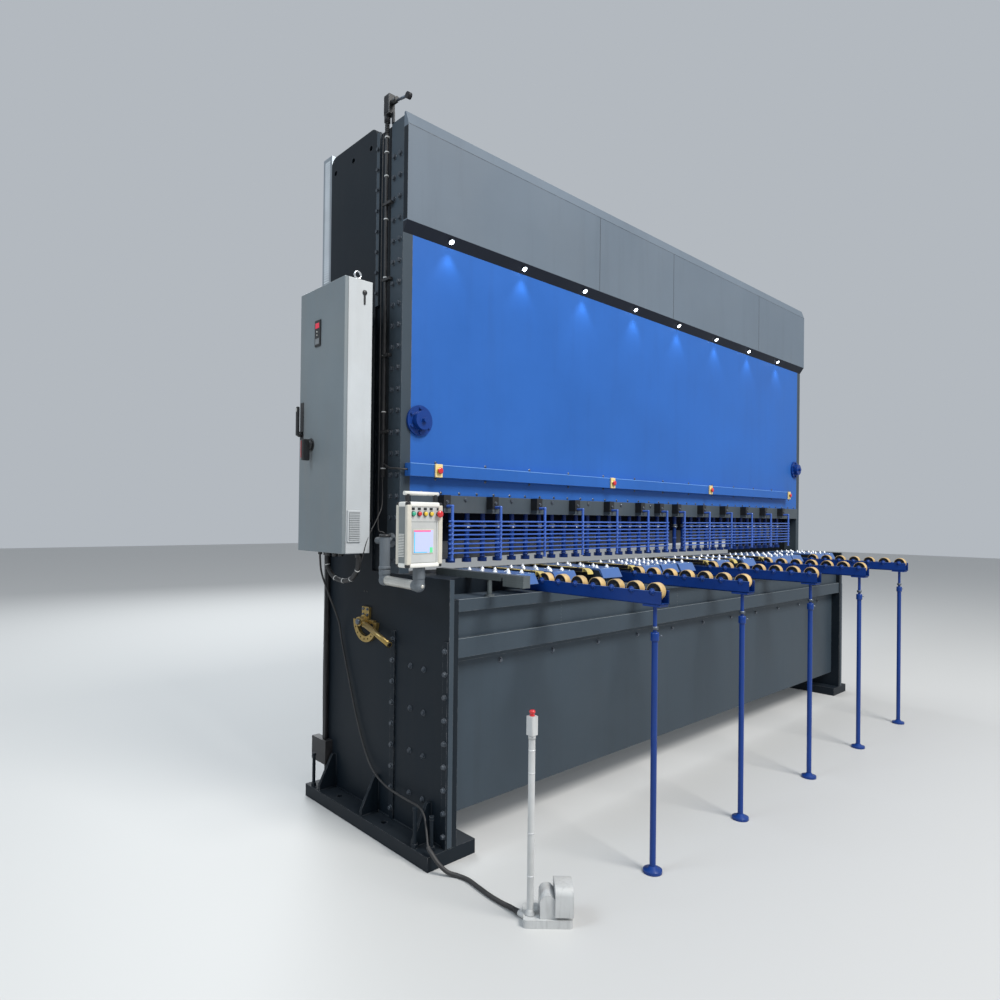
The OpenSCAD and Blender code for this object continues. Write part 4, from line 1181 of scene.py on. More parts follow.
@dataclass
class SideFrames:
    """The bolts, holes and fittings of the two side frames."""

    strap_pitch: float = 0.0947
    strap_low: float = 0.111
    strap_high: float = 0.875
    strap_face: float = -0.008
    post_pitch: float = 0.097
    post_rows: tuple[float, float] = (0.384, 0.432)
    post_low: float = 1.22
    post_high: float = 3.15
    strip_row: float = 0.5675
    strip_low: float = 2.47
    strip_high: float = 3.2
    big_bolt: Fastener = Fastener(Head.HEX, 0.0098, 0.009, 0.0125, 0.002, FRAME_BOLT)
    post_bolt: Fastener = Fastener(Head.HEX, 0.0105, 0.010, 0.0135, 0.002, FRAME_BOLT)
    dome_bolt: Fastener = Fastener(Head.DOME, 0.0115, 0.009, 0.0140, 0.002, FRAME_BOLT)

    def build(self) -> None:
        """Sets the bolts and dresses the plates."""
        zs = steps(self.strap_low, self.strap_high, self.strap_pitch)
        self.big_bolt.set_on("strap_bolts", both_sides(spots(Facing.LEFT, [self.strap_face], [0.015, 0.39], zs)))
        doubler = [*spots(Facing.LEFT, [0.0], [0.263], steps(0.214, 0.77, 0.1845)),
                   *spots(Facing.LEFT, [0.0], [0.167], steps(0.214, 0.77, 0.1845))]
        self.dome_bolt.set_on("doubler_bolts", both_sides(doubler))
        post = spots(Facing.LEFT, [0.0], self.post_rows, steps(self.post_low, self.post_high, self.post_pitch))
        strip = spots(Facing.LEFT, [0.0], [self.strip_row], steps(self.strip_low, self.strip_high, self.post_pitch),
                      0.85)
        self.post_bolt.set_on("post_bolts", both_sides([*post, *strip]))
        self.edges()
        self.base()
        self.rear_bolts()

    def edges(self) -> None:
        """Adds the side plates' front faces in the lighter edge paint, set against the painted shade of the frame
        paint, black discs painted as the shade in the tapped holes above the lever, and a black strip painted as the
        shadow in the strip's gap.
        """
        trim = Builder("side_frame_trim")
        # The front faces carry the lighter edge paint, while the sides carry the painted shade.
        for x0, x1 in ((0.0, 0.025), (FRAME_W - 0.025, FRAME_W)):
            trim.box(at(x0 + 0.0006, -0.0012, 0.064), at(x1 - 0.0006, 0.0004, 1.161), EDGE_PAINT, 0.0006)
        # Painted shade: black discs standing for the shade inside the tapped holes.
        for y in (0.617, 0.641):
            trim.turned([(0.0, 0.0), (0.0048, 0.0), (0.0048, 0.0006), (0.0, 0.0006)], at(0.0, y, 1.062), Facing.LEFT,
                        BLACK, 14)
        # Painted shadow: a black strip standing for the shadow in the strip's gap.
        for x in (-0.0008, FRAME_W - 0.0002):
            trim.box(at(x, 0.5538, 2.41), at(x + 0.001, 0.5556, 3.228), BLACK)
        trim.piece("frame", "frame_paint")

    def base(self) -> None:
        """Adds the gussets' weld beads and the bead along the foot of each side plate."""
        weld = Builder("base_welds")
        for mirror in (False, True):
            for y in (0.1113, 0.5055, 0.8887):
                for side in (-0.008, 0.008):
                    x0, x1 = (-0.09, -0.002) if not mirror else (FRAME_W + 0.002, FRAME_W + 0.09)
                    weld.rod(at(x0, y + side, 0.0605), at(x1, y + side, 0.0605), 0.0045, FRAME_SHADE_PAINT, sides=8)
                    x = -0.0005 if not mirror else FRAME_W + 0.0005
                    weld.rod(at(x, y + side, 0.064), at(x, y + side, 0.222), 0.004, FRAME_SHADE_PAINT, sides=8)
            x = -0.0005 if not mirror else FRAME_W + 0.0005
            weld.rod(at(x, 0.004, 0.061), at(x, 1.0, 0.061), 0.005, FRAME_SHADE_PAINT, sides=8)
        weld.piece("frame", "frame_paint")

    def rear_bolts(self) -> None:
        """Sets the screws that hold the rear panel."""
        panel = [*spots(Facing.REAR, steps(0.09, 4.11, 0.201), [0.96], [1.53, 3.2]),
                 *spots(Facing.REAR, [0.05, 4.15], [0.96], steps(1.65, 3.1, 0.145))]
        Fastener(Head.DOME, 0.008, 0.005, 0.0105, 0.001, BOLT_STEEL).set_on("rear_panel_screws", panel)


@dataclass
class Fascia:
    """The fascia's seams, its shaded end plates and its lamps' rims."""

    seams: tuple[float, ...] = (1.37, 2.15, 3.36)
    face_y: float = 0.327

    def build(self) -> None:
        """Adds the seams, the end plates and the rims."""
        trim = Builder("fascia_trim")
        for x in self.seams:
            trim.box(at(x - 0.0015, self.face_y - 0.0004, 2.75), at(x + 0.0015, self.face_y + 0.001, 3.175), BLACK)
        for x0, x1 in ((-0.0006, 0.0012), (FRAME_W - 0.0012, FRAME_W + 0.0006)):
            trim.box(at(x0, 0.3285, 2.752), at(x1, 0.3595, 3.172), FRAME_SHADE_PAINT, 0.0004)
        trim.box(at(0.001, 0.3268, 3.1755), at(FRAME_W - 0.001, 0.3285, 3.1785), EDGE_PAINT)
        trim.piece("frame", "fascia_paint")
        self.lamps()

    def lamps(self) -> None:
        """Replaces the lamps with a rim and a lens each."""
        low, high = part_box("fascia_lamps")
        lamp = Builder("lamp_units")
        count = 8
        for k in range(count):
            x = low[0] + 0.017 + (high[0] - low[0] - 0.034) * k / (count - 1)
            middle = Vector((x, (low[1] + high[1]) / 2, (low[2] + high[2]) / 2))
            out = Vector((0.0, -math.cos(math.radians(55)), -math.sin(math.radians(55))))
            foot = middle - out * 0.004
            lamp.rod(foot, foot + out * 0.004, 0.0168, BOLT_STEEL, sides=24)
            lamp.rod(foot + out * 0.004, foot + out * 0.007, 0.0125, LAMP, 0.0105, 20)
        lamp.piece("frame", "lamp_white", ["fascia_lamps"])


@dataclass
class FrontPanel:
    """The blue panel's screws, a painted highlight along the rail's top and the guide housings' bolts."""

    screw: Fastener = Fastener(Head.DOME, 0.0055, 0.004, 0.0075, 0.001, BOLT_STEEL)
    rail_front: float = 0.316

    def build(self) -> None:
        """Sets the screws and the housings' bolts, and lays a lighter blue slab on the rail's top as a painted
        highlight.
        """
        heads = [*spots(Facing.FRONT, steps(0.12, 4.1, 0.1135), [0.36], [1.532]),
                 *spots(Facing.FRONT, steps(0.2, 4.0, 0.316), [0.36], [1.597, 1.672])]
        self.screw.set_on("panel_screws", heads, slot="panel_blue")
        ring = []
        for x in (0.1, FRAME_W - 0.1):
            for k in range(6):
                a = math.radians(60 * k + 30)
                ring.append(Spot(at(x + 0.056 * math.cos(a), 0.348, 1.859 + 0.056 * math.sin(a)), Facing.FRONT))
        Fastener(Head.SOCKET, 0.008, 0.008, 0.011, 0.001, ARM_BLUE).set_on("housing_bolts", ring, slot="arm_blue")
        # Painted highlight: a lighter blue slab along the rail's top edge.
        rail = Builder("rail_top_highlight")
        rail.box(at(0.0252, self.rail_front - 0.0005, 1.6585), at(3.9298, self.rail_front + 0.0445, 1.6612),
                 RAIL_TOP_HIGHLIGHT, 0.0004)
        rail.piece("frame", "panel_blue")


@dataclass
class EmergencyStops:
    """The stop buttons on the rail: a cream housing, a dark collar and a red mushroom head."""

    front: float = 0.0
    cap: tuple[tuple[float, float], ...] = ((0.0, 0.0), (0.0105, 0.0), (0.0145, 0.0022), (0.0152, 0.0048),
                                           (0.0138, 0.0073), (0.0095, 0.009), (0.0, 0.0098))

    def build(self) -> None:
        """Replaces the boxes and the buttons."""
        boxes = Builder("stop_housings")
        caps = Builder("stop_caps")
        low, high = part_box("emergency_stop_boxes")
        button_low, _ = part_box("emergency_stop_buttons")
        middle_z = (low[2] + high[2]) / 2
        half_w = (0.042) / 2
        for x in STOP_X:
            place = at(x, 0.0, 0.0)
            boxes.box((place.x - half_w, low[1], low[2]), (place.x + half_w, high[1] + 0.0002, high[2]), CREAM, 0.003, 3)
            boxes.turned([(0.0, 0.0), (0.017, 0.0), (0.017, 0.0012), (0.0, 0.0012)],
                         (place.x, low[1], middle_z), Facing.FRONT, KEY_YELLOW, 28)
            boxes.turned([(0.0, 0.0), (0.0105, 0.0), (0.0095, 0.0055), (0.0, 0.0055)],
                         (place.x, low[1] - 0.0008, middle_z), Facing.FRONT, BLACK, 24)
            cap = [(r, h) for r, h in self.cap]
            caps.turned(cap, (place.x, button_low[1] + 0.0099, middle_z), Facing.FRONT, STOP_RED, 28)
        boxes.piece("frame", "box_cream", ["emergency_stop_boxes"])
        caps.piece("frame", "stop_red", ["emergency_stop_buttons"])




ARM_X = tuple(FRAME_W * share for share in (0.1393, 0.3131, 0.5, 0.6774, 0.8619))
STRIP_X = tuple(FRAME_W * share for share in (0.1393, 0.2214, 0.3131, 0.5, 0.5786, 0.6774))
PLATE_X = tuple(FRAME_W * share for share in (0.1012, 0.1679, 0.2524, 0.3417, 0.3829, 0.425, 0.5298, 0.6095, 0.706,
                                              0.7464, 0.7869, 0.8905, 0.9321))


@dataclass
class HoldDowns:
    """The nuts, collars and rubber feet of the hold-down rods."""

    first_x: float = 0.2289
    pitch: float = 0.104
    count: int = 36
    y: float = 0.405

    def build(self) -> None:
        """Adds a nut under the beam, a collar and a rubber foot to each rod."""
        xs = [self.first_x + self.pitch * k for k in range(self.count)]
        Fastener(Head.HEX, 0.020, 0.016, 0.0225, 0.003, BOLT_STEEL).set_on(
            "rod_nuts", spots(Facing.UP, xs, [self.y], [1.3705]), "hold_downs", "arm_blue")
        rings = spots(Facing.UP, xs, [self.y], [1.226, 1.2945])
        values = {"Radius": 0.0138, "Wire": 0.0028, "Stretch": (1.0, 1.0, 1.0)}
        grown("rod_collars", rings, ring_tree(), values, GUARD_BLUE, "hold_downs")
        values = {"Radius": 0.0215, "Wire": 0.0022, "Stretch": (1.0, 1.0, 0.8)}
        grown("foot_pads", spots(Facing.UP, xs, [self.y], [1.2015]), ring_tree(), values, BLACK, "hold_downs")
        log.info("hold-downs: %d rods", self.count)


@dataclass
class Beam:
    """The dark bracket faces and the screws of the hold-down beam and its guard brackets."""

    guard_x: tuple[float, ...] = (0.2289, 0.5372, 0.856, 1.1651, 1.4788, 1.7951, 2.0038, 2.2109, 2.5309, 2.8392,
                                  3.1508, 3.465, 3.7779)

    def build(self) -> None:
        """Sets the dark faces and screws of the brackets, and the beam's bolts."""
        faces = Builder("bracket_faces")
        for x in self.guard_x:
            faces.box(at(x - 0.0206, 0.3034, 1.4594), at(x + 0.0206, 0.3496, 1.5226), BLACK, 0.001)
        faces.piece("frame", "beam_black")
        brackets = spots(Facing.FRONT, self.guard_x, [0.304], [1.4905])
        Fastener(Head.SOCKET, 0.007, 0.006, 0.009, 0.001, BOLT_STEEL).set_on("bracket_screws", brackets,
                                                                             slot="beam_black")
        beam = spots(Facing.FRONT, steps(0.38, 3.9, 0.312), [0.35], [1.505])
        Fastener(Head.HEX, 0.009, 0.006, 0.012, 0.0015, BOLT_STEEL).set_on("beam_front_bolts", beam,
                                                                           slot="beam_black")


@dataclass
class GuardFrames:
    """The weld beads where the guard's bars cross its posts, the posts' feet and their top elbows."""

    left: tuple[float, ...] = (0.2289, 0.5372, 0.856, 1.1651, 1.4788, 1.7951, 2.0038)
    right: tuple[float, ...] = (2.2109, 2.5309, 2.8392, 3.1508, 3.465, 3.7779)
    bar_low: float = 1.253
    pitch: float = 0.021
    bars: int = 8

    def build(self) -> None:
        """Adds a weld bead at each crossing, a foot to each post and a rounded elbow at its top."""
        zs = [self.bar_low + self.pitch * k for k in range(self.bars)]
        values = {"Radius": 0.0055, "Wire": 0.0022, "Stretch": (1.0, 1.0, 1.0)}
        beads = spots(Facing.FRONT, (*self.left, *self.right), [0.2605], zs)
        grown("guard_welds", beads, ring_tree(), values, GUARD_BLUE)
        feet = spots(Facing.UP, (*self.left, *self.right), [0.266], [1.2185])
        Fastener(Head.DOME, 0.0098, 0.006, 0.0098, 0.002, GUARD_BLUE).set_on("guard_feet", feet, slot="panel_blue")
        elbows = Builder("guard_elbows")
        for x in (*self.left, *self.right):
            elbows.turned([(0.0, 0.0), (0.0052, 0.0009), (0.0078, 0.004), (0.0078, 0.011), (0.0052, 0.014),
                           (0.0, 0.015)], at(x, 0.266, 1.4625), Facing.UP, GUARD_BLUE, 16)
        elbows.piece("frame", "panel_blue")


@dataclass
class Table:
    """The strips, plate rims, ball rims and screws of the table top, and its front edges."""

    strip_w: float = 0.046
    strip_front: float = 0.052
    strip_rear: float = 0.42
    top: float = 1.168

    def build(self) -> None:
        """Dresses the table."""
        self.strips()
        self.plates()
        self.edges()

    def strips(self) -> None:
        """Adds the strips' curled front ends, their side rims and their screws."""
        shape = Builder("strip_curls")
        radius, wall = 0.036, 0.0035
        for x in STRIP_X:
            steps_round = 9
            outer, inner = [], []
            for k in range(steps_round + 1):
                a = math.radians(90 + 78 * k / steps_round)
                for r, line in ((radius, outer), (radius - wall, inner)):
                    line.append((0.052 + r * math.cos(a), self.top - radius + r * math.sin(a)))
            ring = outer + inner[::-1]
            left, right = x - 0.021, x + 0.021
            a_side = [shape.mesh.verts.new(at(left, y, z)) for y, z in ring]
            b_side = [shape.mesh.verts.new(at(right, y, z)) for y, z in ring]
            faces = []
            count = len(ring)
            for k in range(count):
                m = (k + 1) % count
                faces.append(shape.mesh.faces.new((a_side[k], a_side[m], b_side[m], b_side[k])))
            half = len(outer)
            for side, flip in ((a_side, False), (b_side, True)):
                for k in range(half - 1):
                    quad = (side[k], side[k + 1], side[count - 2 - k], side[count - 1 - k])
                    faces.append(shape.mesh.faces.new(quad[::-1] if flip else quad))
            bmesh.ops.recalc_face_normals(shape.mesh, faces=faces)
            shape.paint(faces, STRIP, False)
            for side in (-1, 1):
                edge = x + side * 0.0225
                shape.box(at(edge - 0.0012, self.strip_front, self.top - 0.017),
                          at(edge + 0.0012, self.strip_rear - 0.001, self.top + 0.0008), HUB_DARK, 0.0005)
        shape.piece("frame", "strip_yellow")
        screws = spots(Facing.UP, STRIP_X, [0.10, 0.235, 0.37], [self.top])
        Fastener(Head.SOCKET, 0.0055, 0.0012, 0.0065, 0.0006, HUB_DARK).set_on("strip_screws", screws,
                                                                               slot="strip_yellow")

    def plates(self) -> None:
        """Adds the folded rims of the ball plates in a lighter blue as painted highlights, the plates' screws and the
        rims round the balls.
        """
        rims = Builder("plate_rims")
        for x in PLATE_X:
            low, high = x - 0.0775, x + 0.0775
            # Painted highlight: lighter blue strips on the side and rear rims and along the folds.
            for edge in (low, high - 0.003):
                rims.box(at(edge, 0.004, 1.1645), at(edge + 0.003, 0.398, 1.1668), PLATE_RIM_HIGHLIGHT, 0.0006)
            rims.box(at(low, 0.397, 1.1645), at(high, 0.4002, 1.1668), PLATE_RIM_HIGHLIGHT, 0.0006)
            for k in range(2):
                y = 0.0 if k == 0 else 0.162
                rims.rod(at(low + 0.002, y + 0.0005, 1.1648), at(high - 0.002, y + 0.0005, 1.1648), 0.0012, PLATE_RIM_HIGHLIGHT,
                         sides=8)
        rims.piece("frame", "plate_blue")
        screws = [Spot(at(x + dx, y, 1.165), Facing.UP) for x in PLATE_X for dx in (-0.064, 0.064)
                  for y in (0.02, 0.185, 0.385)]
        Fastener(Head.DOME, 0.0048, 0.002, 0.0062, 0.0006, BRIGHT).set_on("plate_screws", screws, slot="plate_blue")
        rings = [Spot(at(x + dx, y, 1.1655), Facing.UP) for x in PLATE_X for dx in (-0.042, 0.042)
                 for y in (0.05, 0.14, 0.23, 0.32)]
        values = {"Radius": 0.0125, "Wire": 0.0014, "Stretch": (1.0, 1.0, 0.8)}
        grown("ball_rims", rings, ring_tree(), values, BRIGHT)

    def edges(self) -> None:
        """Adds pale strips along the ledge's and the band's top edges as painted highlights, the blade's bolts, the
        apron's bolts and the web's seams.
        """
        lines = Builder("edge_highlight_lines")
        # Painted highlight: pale strips along the ledge's and the band's top edges.
        lines.box(at(0.0505, -0.0006, 1.0765), at(4.1495, 0.0012, 1.0785), PALE_EDGE, 0.0005)
        lines.box(at(0.0505, 0.0044, 0.9125), at(4.1495, 0.0062, 0.9146), PALE_EDGE, 0.0005)
        lines.piece("frame", "frame_paint")
        blade = spots(Facing.UP, steps(0.16, 4.05, 0.155), [0.456], [1.165])
        Fastener(Head.SOCKET, 0.0085, 0.0006, 0.0095, 0.0003, HUB_DARK).set_on("blade_bolts", blade, slot="steel")
        front = spots(Facing.FRONT, steps(0.35, 4.0, 0.35), [0.062], [0.78])
        Fastener(Head.HEX, 0.009, 0.007, 0.013, 0.002, BOLT_STEEL).set_on("apron_bolts", front)
        seam = Builder("web_seams")
        for x in (0.72, 1.75, 2.78, 3.6):
            for z in steps(0.925, 1.02, 0.0155):
                seam.turned([(0.0, 0.0), (0.0016, 0.0), (0.0012, 0.0008), (0.0, 0.001)], at(x, 0.028, z), Facing.FRONT,
                            PALE_EDGE, 8)
        seam.piece("frame", "frame_paint")


@dataclass
class RollerArms:
    """The rollers, channels, axle heads and leg fittings of the support arms."""

    wheel_r: float = 0.036
    wheel_w: float = 0.036
    pitch: float = 0.1
    first_y: float = 0.003
    count: int = 7
    z: float = 1.130
    channel_w: float = 0.060
    channel_h: float = 0.055
    channel_wall: float = 0.005
    channel_low: float = 1.078
    channel_front: float = -0.640
    channel_rear: float = 0.150
    channel_edge: float = 0.001

    def wheel(self, shape: Builder, x: float, y: float) -> None:
        """Adds one roller: a crowned tread between two dark hub faces.

        Args:
            shape: the mesh to add it to.
            x: its place across the machine.
            y: its place along the arm.
        """
        half = self.wheel_w / 2
        r = self.wheel_r
        tread = [(r - 0.0030, 0.0006), (r - 0.0016, 0.0), (r - 0.0005, 0.0015), (r, half),
                 (r - 0.0005, 2 * half - 0.0015), (r - 0.0016, 2 * half), (r - 0.0030, 2 * half - 0.0006)]
        place = at(x - half, y, self.z)
        sides = 26
        rings = []
        for radius, along in tread:
            rings.append([shape.mesh.verts.new(place + Vector((along, radius * math.cos(a), radius * math.sin(a))))
                          for a in (2 * math.pi * k / sides for k in range(sides))])
        faces = []
        for a, b in zip(rings, [*rings[1:], rings[0]]):
            for k in range(sides):
                m = (k + 1) % sides
                faces.append(shape.mesh.faces.new((a[k], a[m], b[m], b[k])))
        bmesh.ops.recalc_face_normals(shape.mesh, faces=faces)
        shape.paint(faces, TREAD, True)
        hub = [(0.0, 0.0), (0.011, 0.0), (0.0125, 0.006), (r - 0.011, 0.005), (r - 0.0029, 0.001),
               (r - 0.0029, self.wheel_w - 0.001), (r - 0.011, self.wheel_w - 0.005), (0.0125, self.wheel_w - 0.006),
               (0.011, self.wheel_w), (0.0, self.wheel_w)]
        shape.turned(hub, place, Facing.RIGHT, HUB_DARK, 20)

    def channels(self) -> None:
        """Replaces the channels with ones whose front ends are open, each wall's front end face painted a lighter blue
        as a painted highlight.
        """
        shells = Builder("arm_shells")
        half, wall = self.channel_w / 2, self.channel_wall
        top = self.channel_low + self.channel_h
        for x in ARM_X:
            sides = ((x - half, x - half + wall, top), (x + half - wall, x + half, top),
                     (x - half, x + half, self.channel_low + wall))
            for x0, x1, high in sides:
                shells.box(at(x0, self.channel_front, self.channel_low), at(x1, self.channel_rear, high), ARM_BLUE,
                           self.channel_edge)
                # Painted highlight: a lighter blue face on the front end of each wall.
                shells.box(at(x0 + 0.0012, self.channel_front, self.channel_low + 0.0012),
                           at(x1 - 0.0012, self.channel_front + 0.002, high - 0.0012), ARM_EDGE_HIGHLIGHT)
        shells.piece("frame", "arm_blue", [f"arm_channel_{k + 1}" for k in range(len(ARM_X))])

    def build(self) -> None:
        """Replaces the rollers and the channels, and adds the axle heads, the leg fittings and lighter blue strips
        along the channels' top edges as painted highlights.
        """
        wheels = Builder("rollers")
        heads = []
        for x in ARM_X:
            for k in range(self.count):
                y = self.first_y - self.pitch * k
                self.wheel(wheels, x, y)
                heads += [Spot(at(x - 0.030, y, self.z), Facing.LEFT), Spot(at(x + 0.030, y, self.z), Facing.RIGHT)]
        wheels.piece("frame", "tread_yellow", ["arm_wheels"])
        self.channels()
        Fastener(Head.DOME, 0.0125, 0.009, 0.0155, 0.002, ARM_BLUE).set_on("axle_heads", heads, slot="arm_blue")
        fittings = Builder("leg_fittings")
        for x in ARM_X:
            base = at(x, -0.593, 0.0)
            fittings.turned([(0.0, 0.0), (0.0165, 0.0), (0.0172, 0.004), (0.0172, 0.030), (0.0160, 0.034),
                             (0.0, 0.034)], (base.x, base.y, 0.930), Facing.UP, ARM_BLUE, 20)
            fittings.turned([(0.0, 0.0), (0.0135, 0.0), (0.0135, 0.013), (0.0, 0.013)], (base.x, base.y, 0.975),
                            Facing.UP, BOLT_STEEL, 6)
            fittings.turned([(0.0, 0.0), (0.0385, 0.0), (0.0385, 0.006), (0.036, 0.0125), (0.020, 0.0145),
                             (0.0140, 0.026), (0.0, 0.026)], (base.x, base.y, 0.0), Facing.UP, ARM_BLUE, 28)
            fittings.rod((base.x + 0.0150, base.y, 0.948), (base.x + 0.0300, base.y, 0.948), 0.004, BOLT_STEEL)
            fittings.rod((base.x + 0.0280, base.y - 0.016, 0.948), (base.x + 0.0280, base.y + 0.016, 0.948), 0.0032,
                         BOLT_STEEL)
            # Painted highlight: lighter blue strips along the channels' top edges.
            for side in (-1, 1):
                fittings.box(at(x + side * 0.0315 - 0.0012, -0.6395, 1.1318), at(x + side * 0.0315 + 0.0002, 0.149,
                             1.1338), ARM_EDGE_HIGHLIGHT, 0.0004)
        fittings.piece("frame", "arm_blue")


@dataclass
class Cabinet:
    """The electrical cabinet: folded body, door, vents, meter, handle, isolator and cable glands."""

    x0: float = -0.250
    x1: float = -0.110
    y0: float = 0.430
    y1: float = 0.830
    z0: float = 1.255
    z1: float = 2.460
    door: float = 0.0177
    fold: float = 0.003

    def build(self) -> None:
        """Builds the cabinet's pieces."""
        self.body()
        self.front_side()
        self.door_leaf()
        self.controls()
        self.glands()

    def body(self) -> None:
        """Replaces the box with a folded one on standoffs."""
        shape = Builder("cabinet_case")
        shape.box(at(self.x0 + 0.018, self.y0, self.z0), at(self.x1, self.y1, self.z1), CABINET, self.fold, 3)
        for y in (0.62, 0.77):
            for z in (1.375, 2.34):
                shape.rod(at(self.x1 - 0.002, y, z), at(0.0, y, z), 0.017, BOLT_STEEL, sides=20)
                shape.turned([(0.0, 0.0), (0.03, 0.0), (0.03, 0.005), (0.0, 0.005)], at(-0.005, y, z), Facing.RIGHT,
                             BOLT_STEEL, 6)
        shape.piece("frame", "cabinet_grey", ["cabinet_body"])

    def front_side(self) -> None:
        """Adds the rubber seam, the lock and the vent on the side that faces the operator."""
        face = Builder("cabinet_front_side")
        face.box(at(self.x0 + 0.0165, self.y0 + 0.002, self.z0 + 0.004), at(self.x0 + 0.0195, self.y1 - 0.002,
                 self.z1 - 0.004), BLACK)
        face.turned([(0.0, 0.0), (0.011, 0.0), (0.011, 0.004), (0.008, 0.006), (0.0, 0.006)],
                    at(-0.152, self.y0, 2.405), Facing.FRONT, BLACK, 24)
        face.box(at(-0.1565, self.y0 - 0.005, 2.352), at(-0.1475, self.y0 + 0.001, 2.398), BLACK, 0.003)
        face.box(at(-0.227, self.y0 - 0.007, 1.305), at(-0.160, self.y0 + 0.001, 1.445), CABINET, 0.003)
        face.box(at(-0.2205, self.y0 - 0.0076, 1.314), at(-0.1665, self.y0 - 0.0066, 1.436), VENT_SHADE)
        face.piece("frame", "cabinet_grey")
        slats = spots(Facing.UP, [-0.1935], [self.y0 - 0.0083], steps(1.318, 1.434, 0.0078))
        grown("vent_slats", slats, block_tree(), {"Size": (0.052, 0.0045, 0.0042)}, CABINET)

    def door_leaf(self) -> None:
        """Replaces the door with a folded one in a darker copy of the cabinet grey, painted shade on the door's face,
        and adds the meter.
        """
        leaf = Builder("cabinet_leaf")
        leaf.box(at(self.x0, self.y0, self.z0), at(self.x0 + self.door, self.y1, self.z1), CABINET_DOOR_SHADE, self.fold, 3)
        leaf.box(at(self.x0 - 0.0060, 0.634, 2.190), at(self.x0 + 0.001, 0.686, 2.310), BLACK, 0.003)
        leaf.box(at(self.x0 - 0.0068, 0.643, 2.272), at(self.x0 - 0.0055, 0.677, 2.296), RED_DISPLAY, 0.001)
        leaf.box(at(self.x0 - 0.0066, 0.643, 2.200), at(self.x0 - 0.0055, 0.677, 2.226), VENT_SHADE, 0.001)
        for z in (2.241, 2.256):
            leaf.turned([(0.0, 0.0), (0.0045, 0.0), (0.0035, 0.002), (0.0, 0.002)], at(self.x0 - 0.006, 0.661, z),
                        Facing.LEFT, SILVER_TUBE, 14)
        leaf.piece("door", "cabinet_grey", ["cabinet_door"])

    def controls(self) -> None:
        """Replaces the isolator's knob and the swing handle."""
        knob = Builder("isolator")
        knob.turned([(0.0, 0.0), (0.0248, 0.0), (0.0248, 0.008), (0.022, 0.013), (0.017, 0.0145), (0.0, 0.015)],
                    at(self.x0 - 0.0024, 0.716, 1.745), Facing.LEFT, BLACK, 32)
        knob.box(at(self.x0 - 0.0448, 0.706, 1.672), at(self.x0 - 0.010, 0.726, 1.770), BLACK, 0.004, 3)
        knob.box(at(self.x0 - 0.0450, 0.7255, 1.684), at(self.x0 - 0.020, 0.7305, 1.764), STOP_RED, 0.002)
        knob.piece("isolator", "stop_red", ["isolator_knob"])
        handle = Builder("swing_handle")
        handle.turned([(0.0, 0.0), (0.0128, 0.0), (0.0128, 0.018), (0.010, 0.022), (0.0, 0.023)],
                      at(self.x0, 0.805, 1.8), Facing.LEFT, BLACK, 24)
        handle.box(at(self.x0 - 0.0300, 0.7955, 1.7925), at(self.x0 - 0.0165, 0.8145, 1.9295), BLACK, 0.005, 3)
        handle.box(at(self.x0 - 0.0302, 0.8005, 1.905), at(self.x0 - 0.0290, 0.8095, 1.922), SILVER_TUBE, 0.001)
        handle.piece("door_handle", "black_plastic", ["door_handle"])
        plate = Builder("handle_dish")
        plate.box(at(self.x0 - 0.0025, 0.7895, 1.775), at(self.x0 + 0.001, 0.8205, 1.950), BLACK, 0.002)
        plate.turned([(0.0, 0.0), (0.031, 0.0), (0.030, 0.002), (0.0, 0.002)], at(self.x0, 0.716, 1.745), Facing.LEFT,
                     BLACK, 32)
        plate.piece("door", "black_plastic")

    def glands(self) -> None:
        """Adds the gland plate and its cable glands."""
        under = Builder("gland_plate")
        under.box(at(-0.205, 0.445, self.z0 - 0.004), at(-0.118, 0.815, self.z0 + 0.001), BOLT_STEEL, 0.001)
        for x, y, r in ((-0.150, 0.735, 0.0165), (-0.146, 0.460, 0.0165), (-0.150, 0.800, 0.010),
                        (-0.185, 0.60, 0.012), (-0.185, 0.66, 0.012), (-0.155, 0.60, 0.012)):
            under.turned([(0.0, 0.0), (r, 0.0), (r, 0.010), (r * 1.1, 0.011), (r * 1.1, 0.018), (0.0, 0.018)],
                         at(x, y, self.z0 - 0.021), Facing.UP, BLACK, 12)
        under.piece("frame", "cabinet_grey")


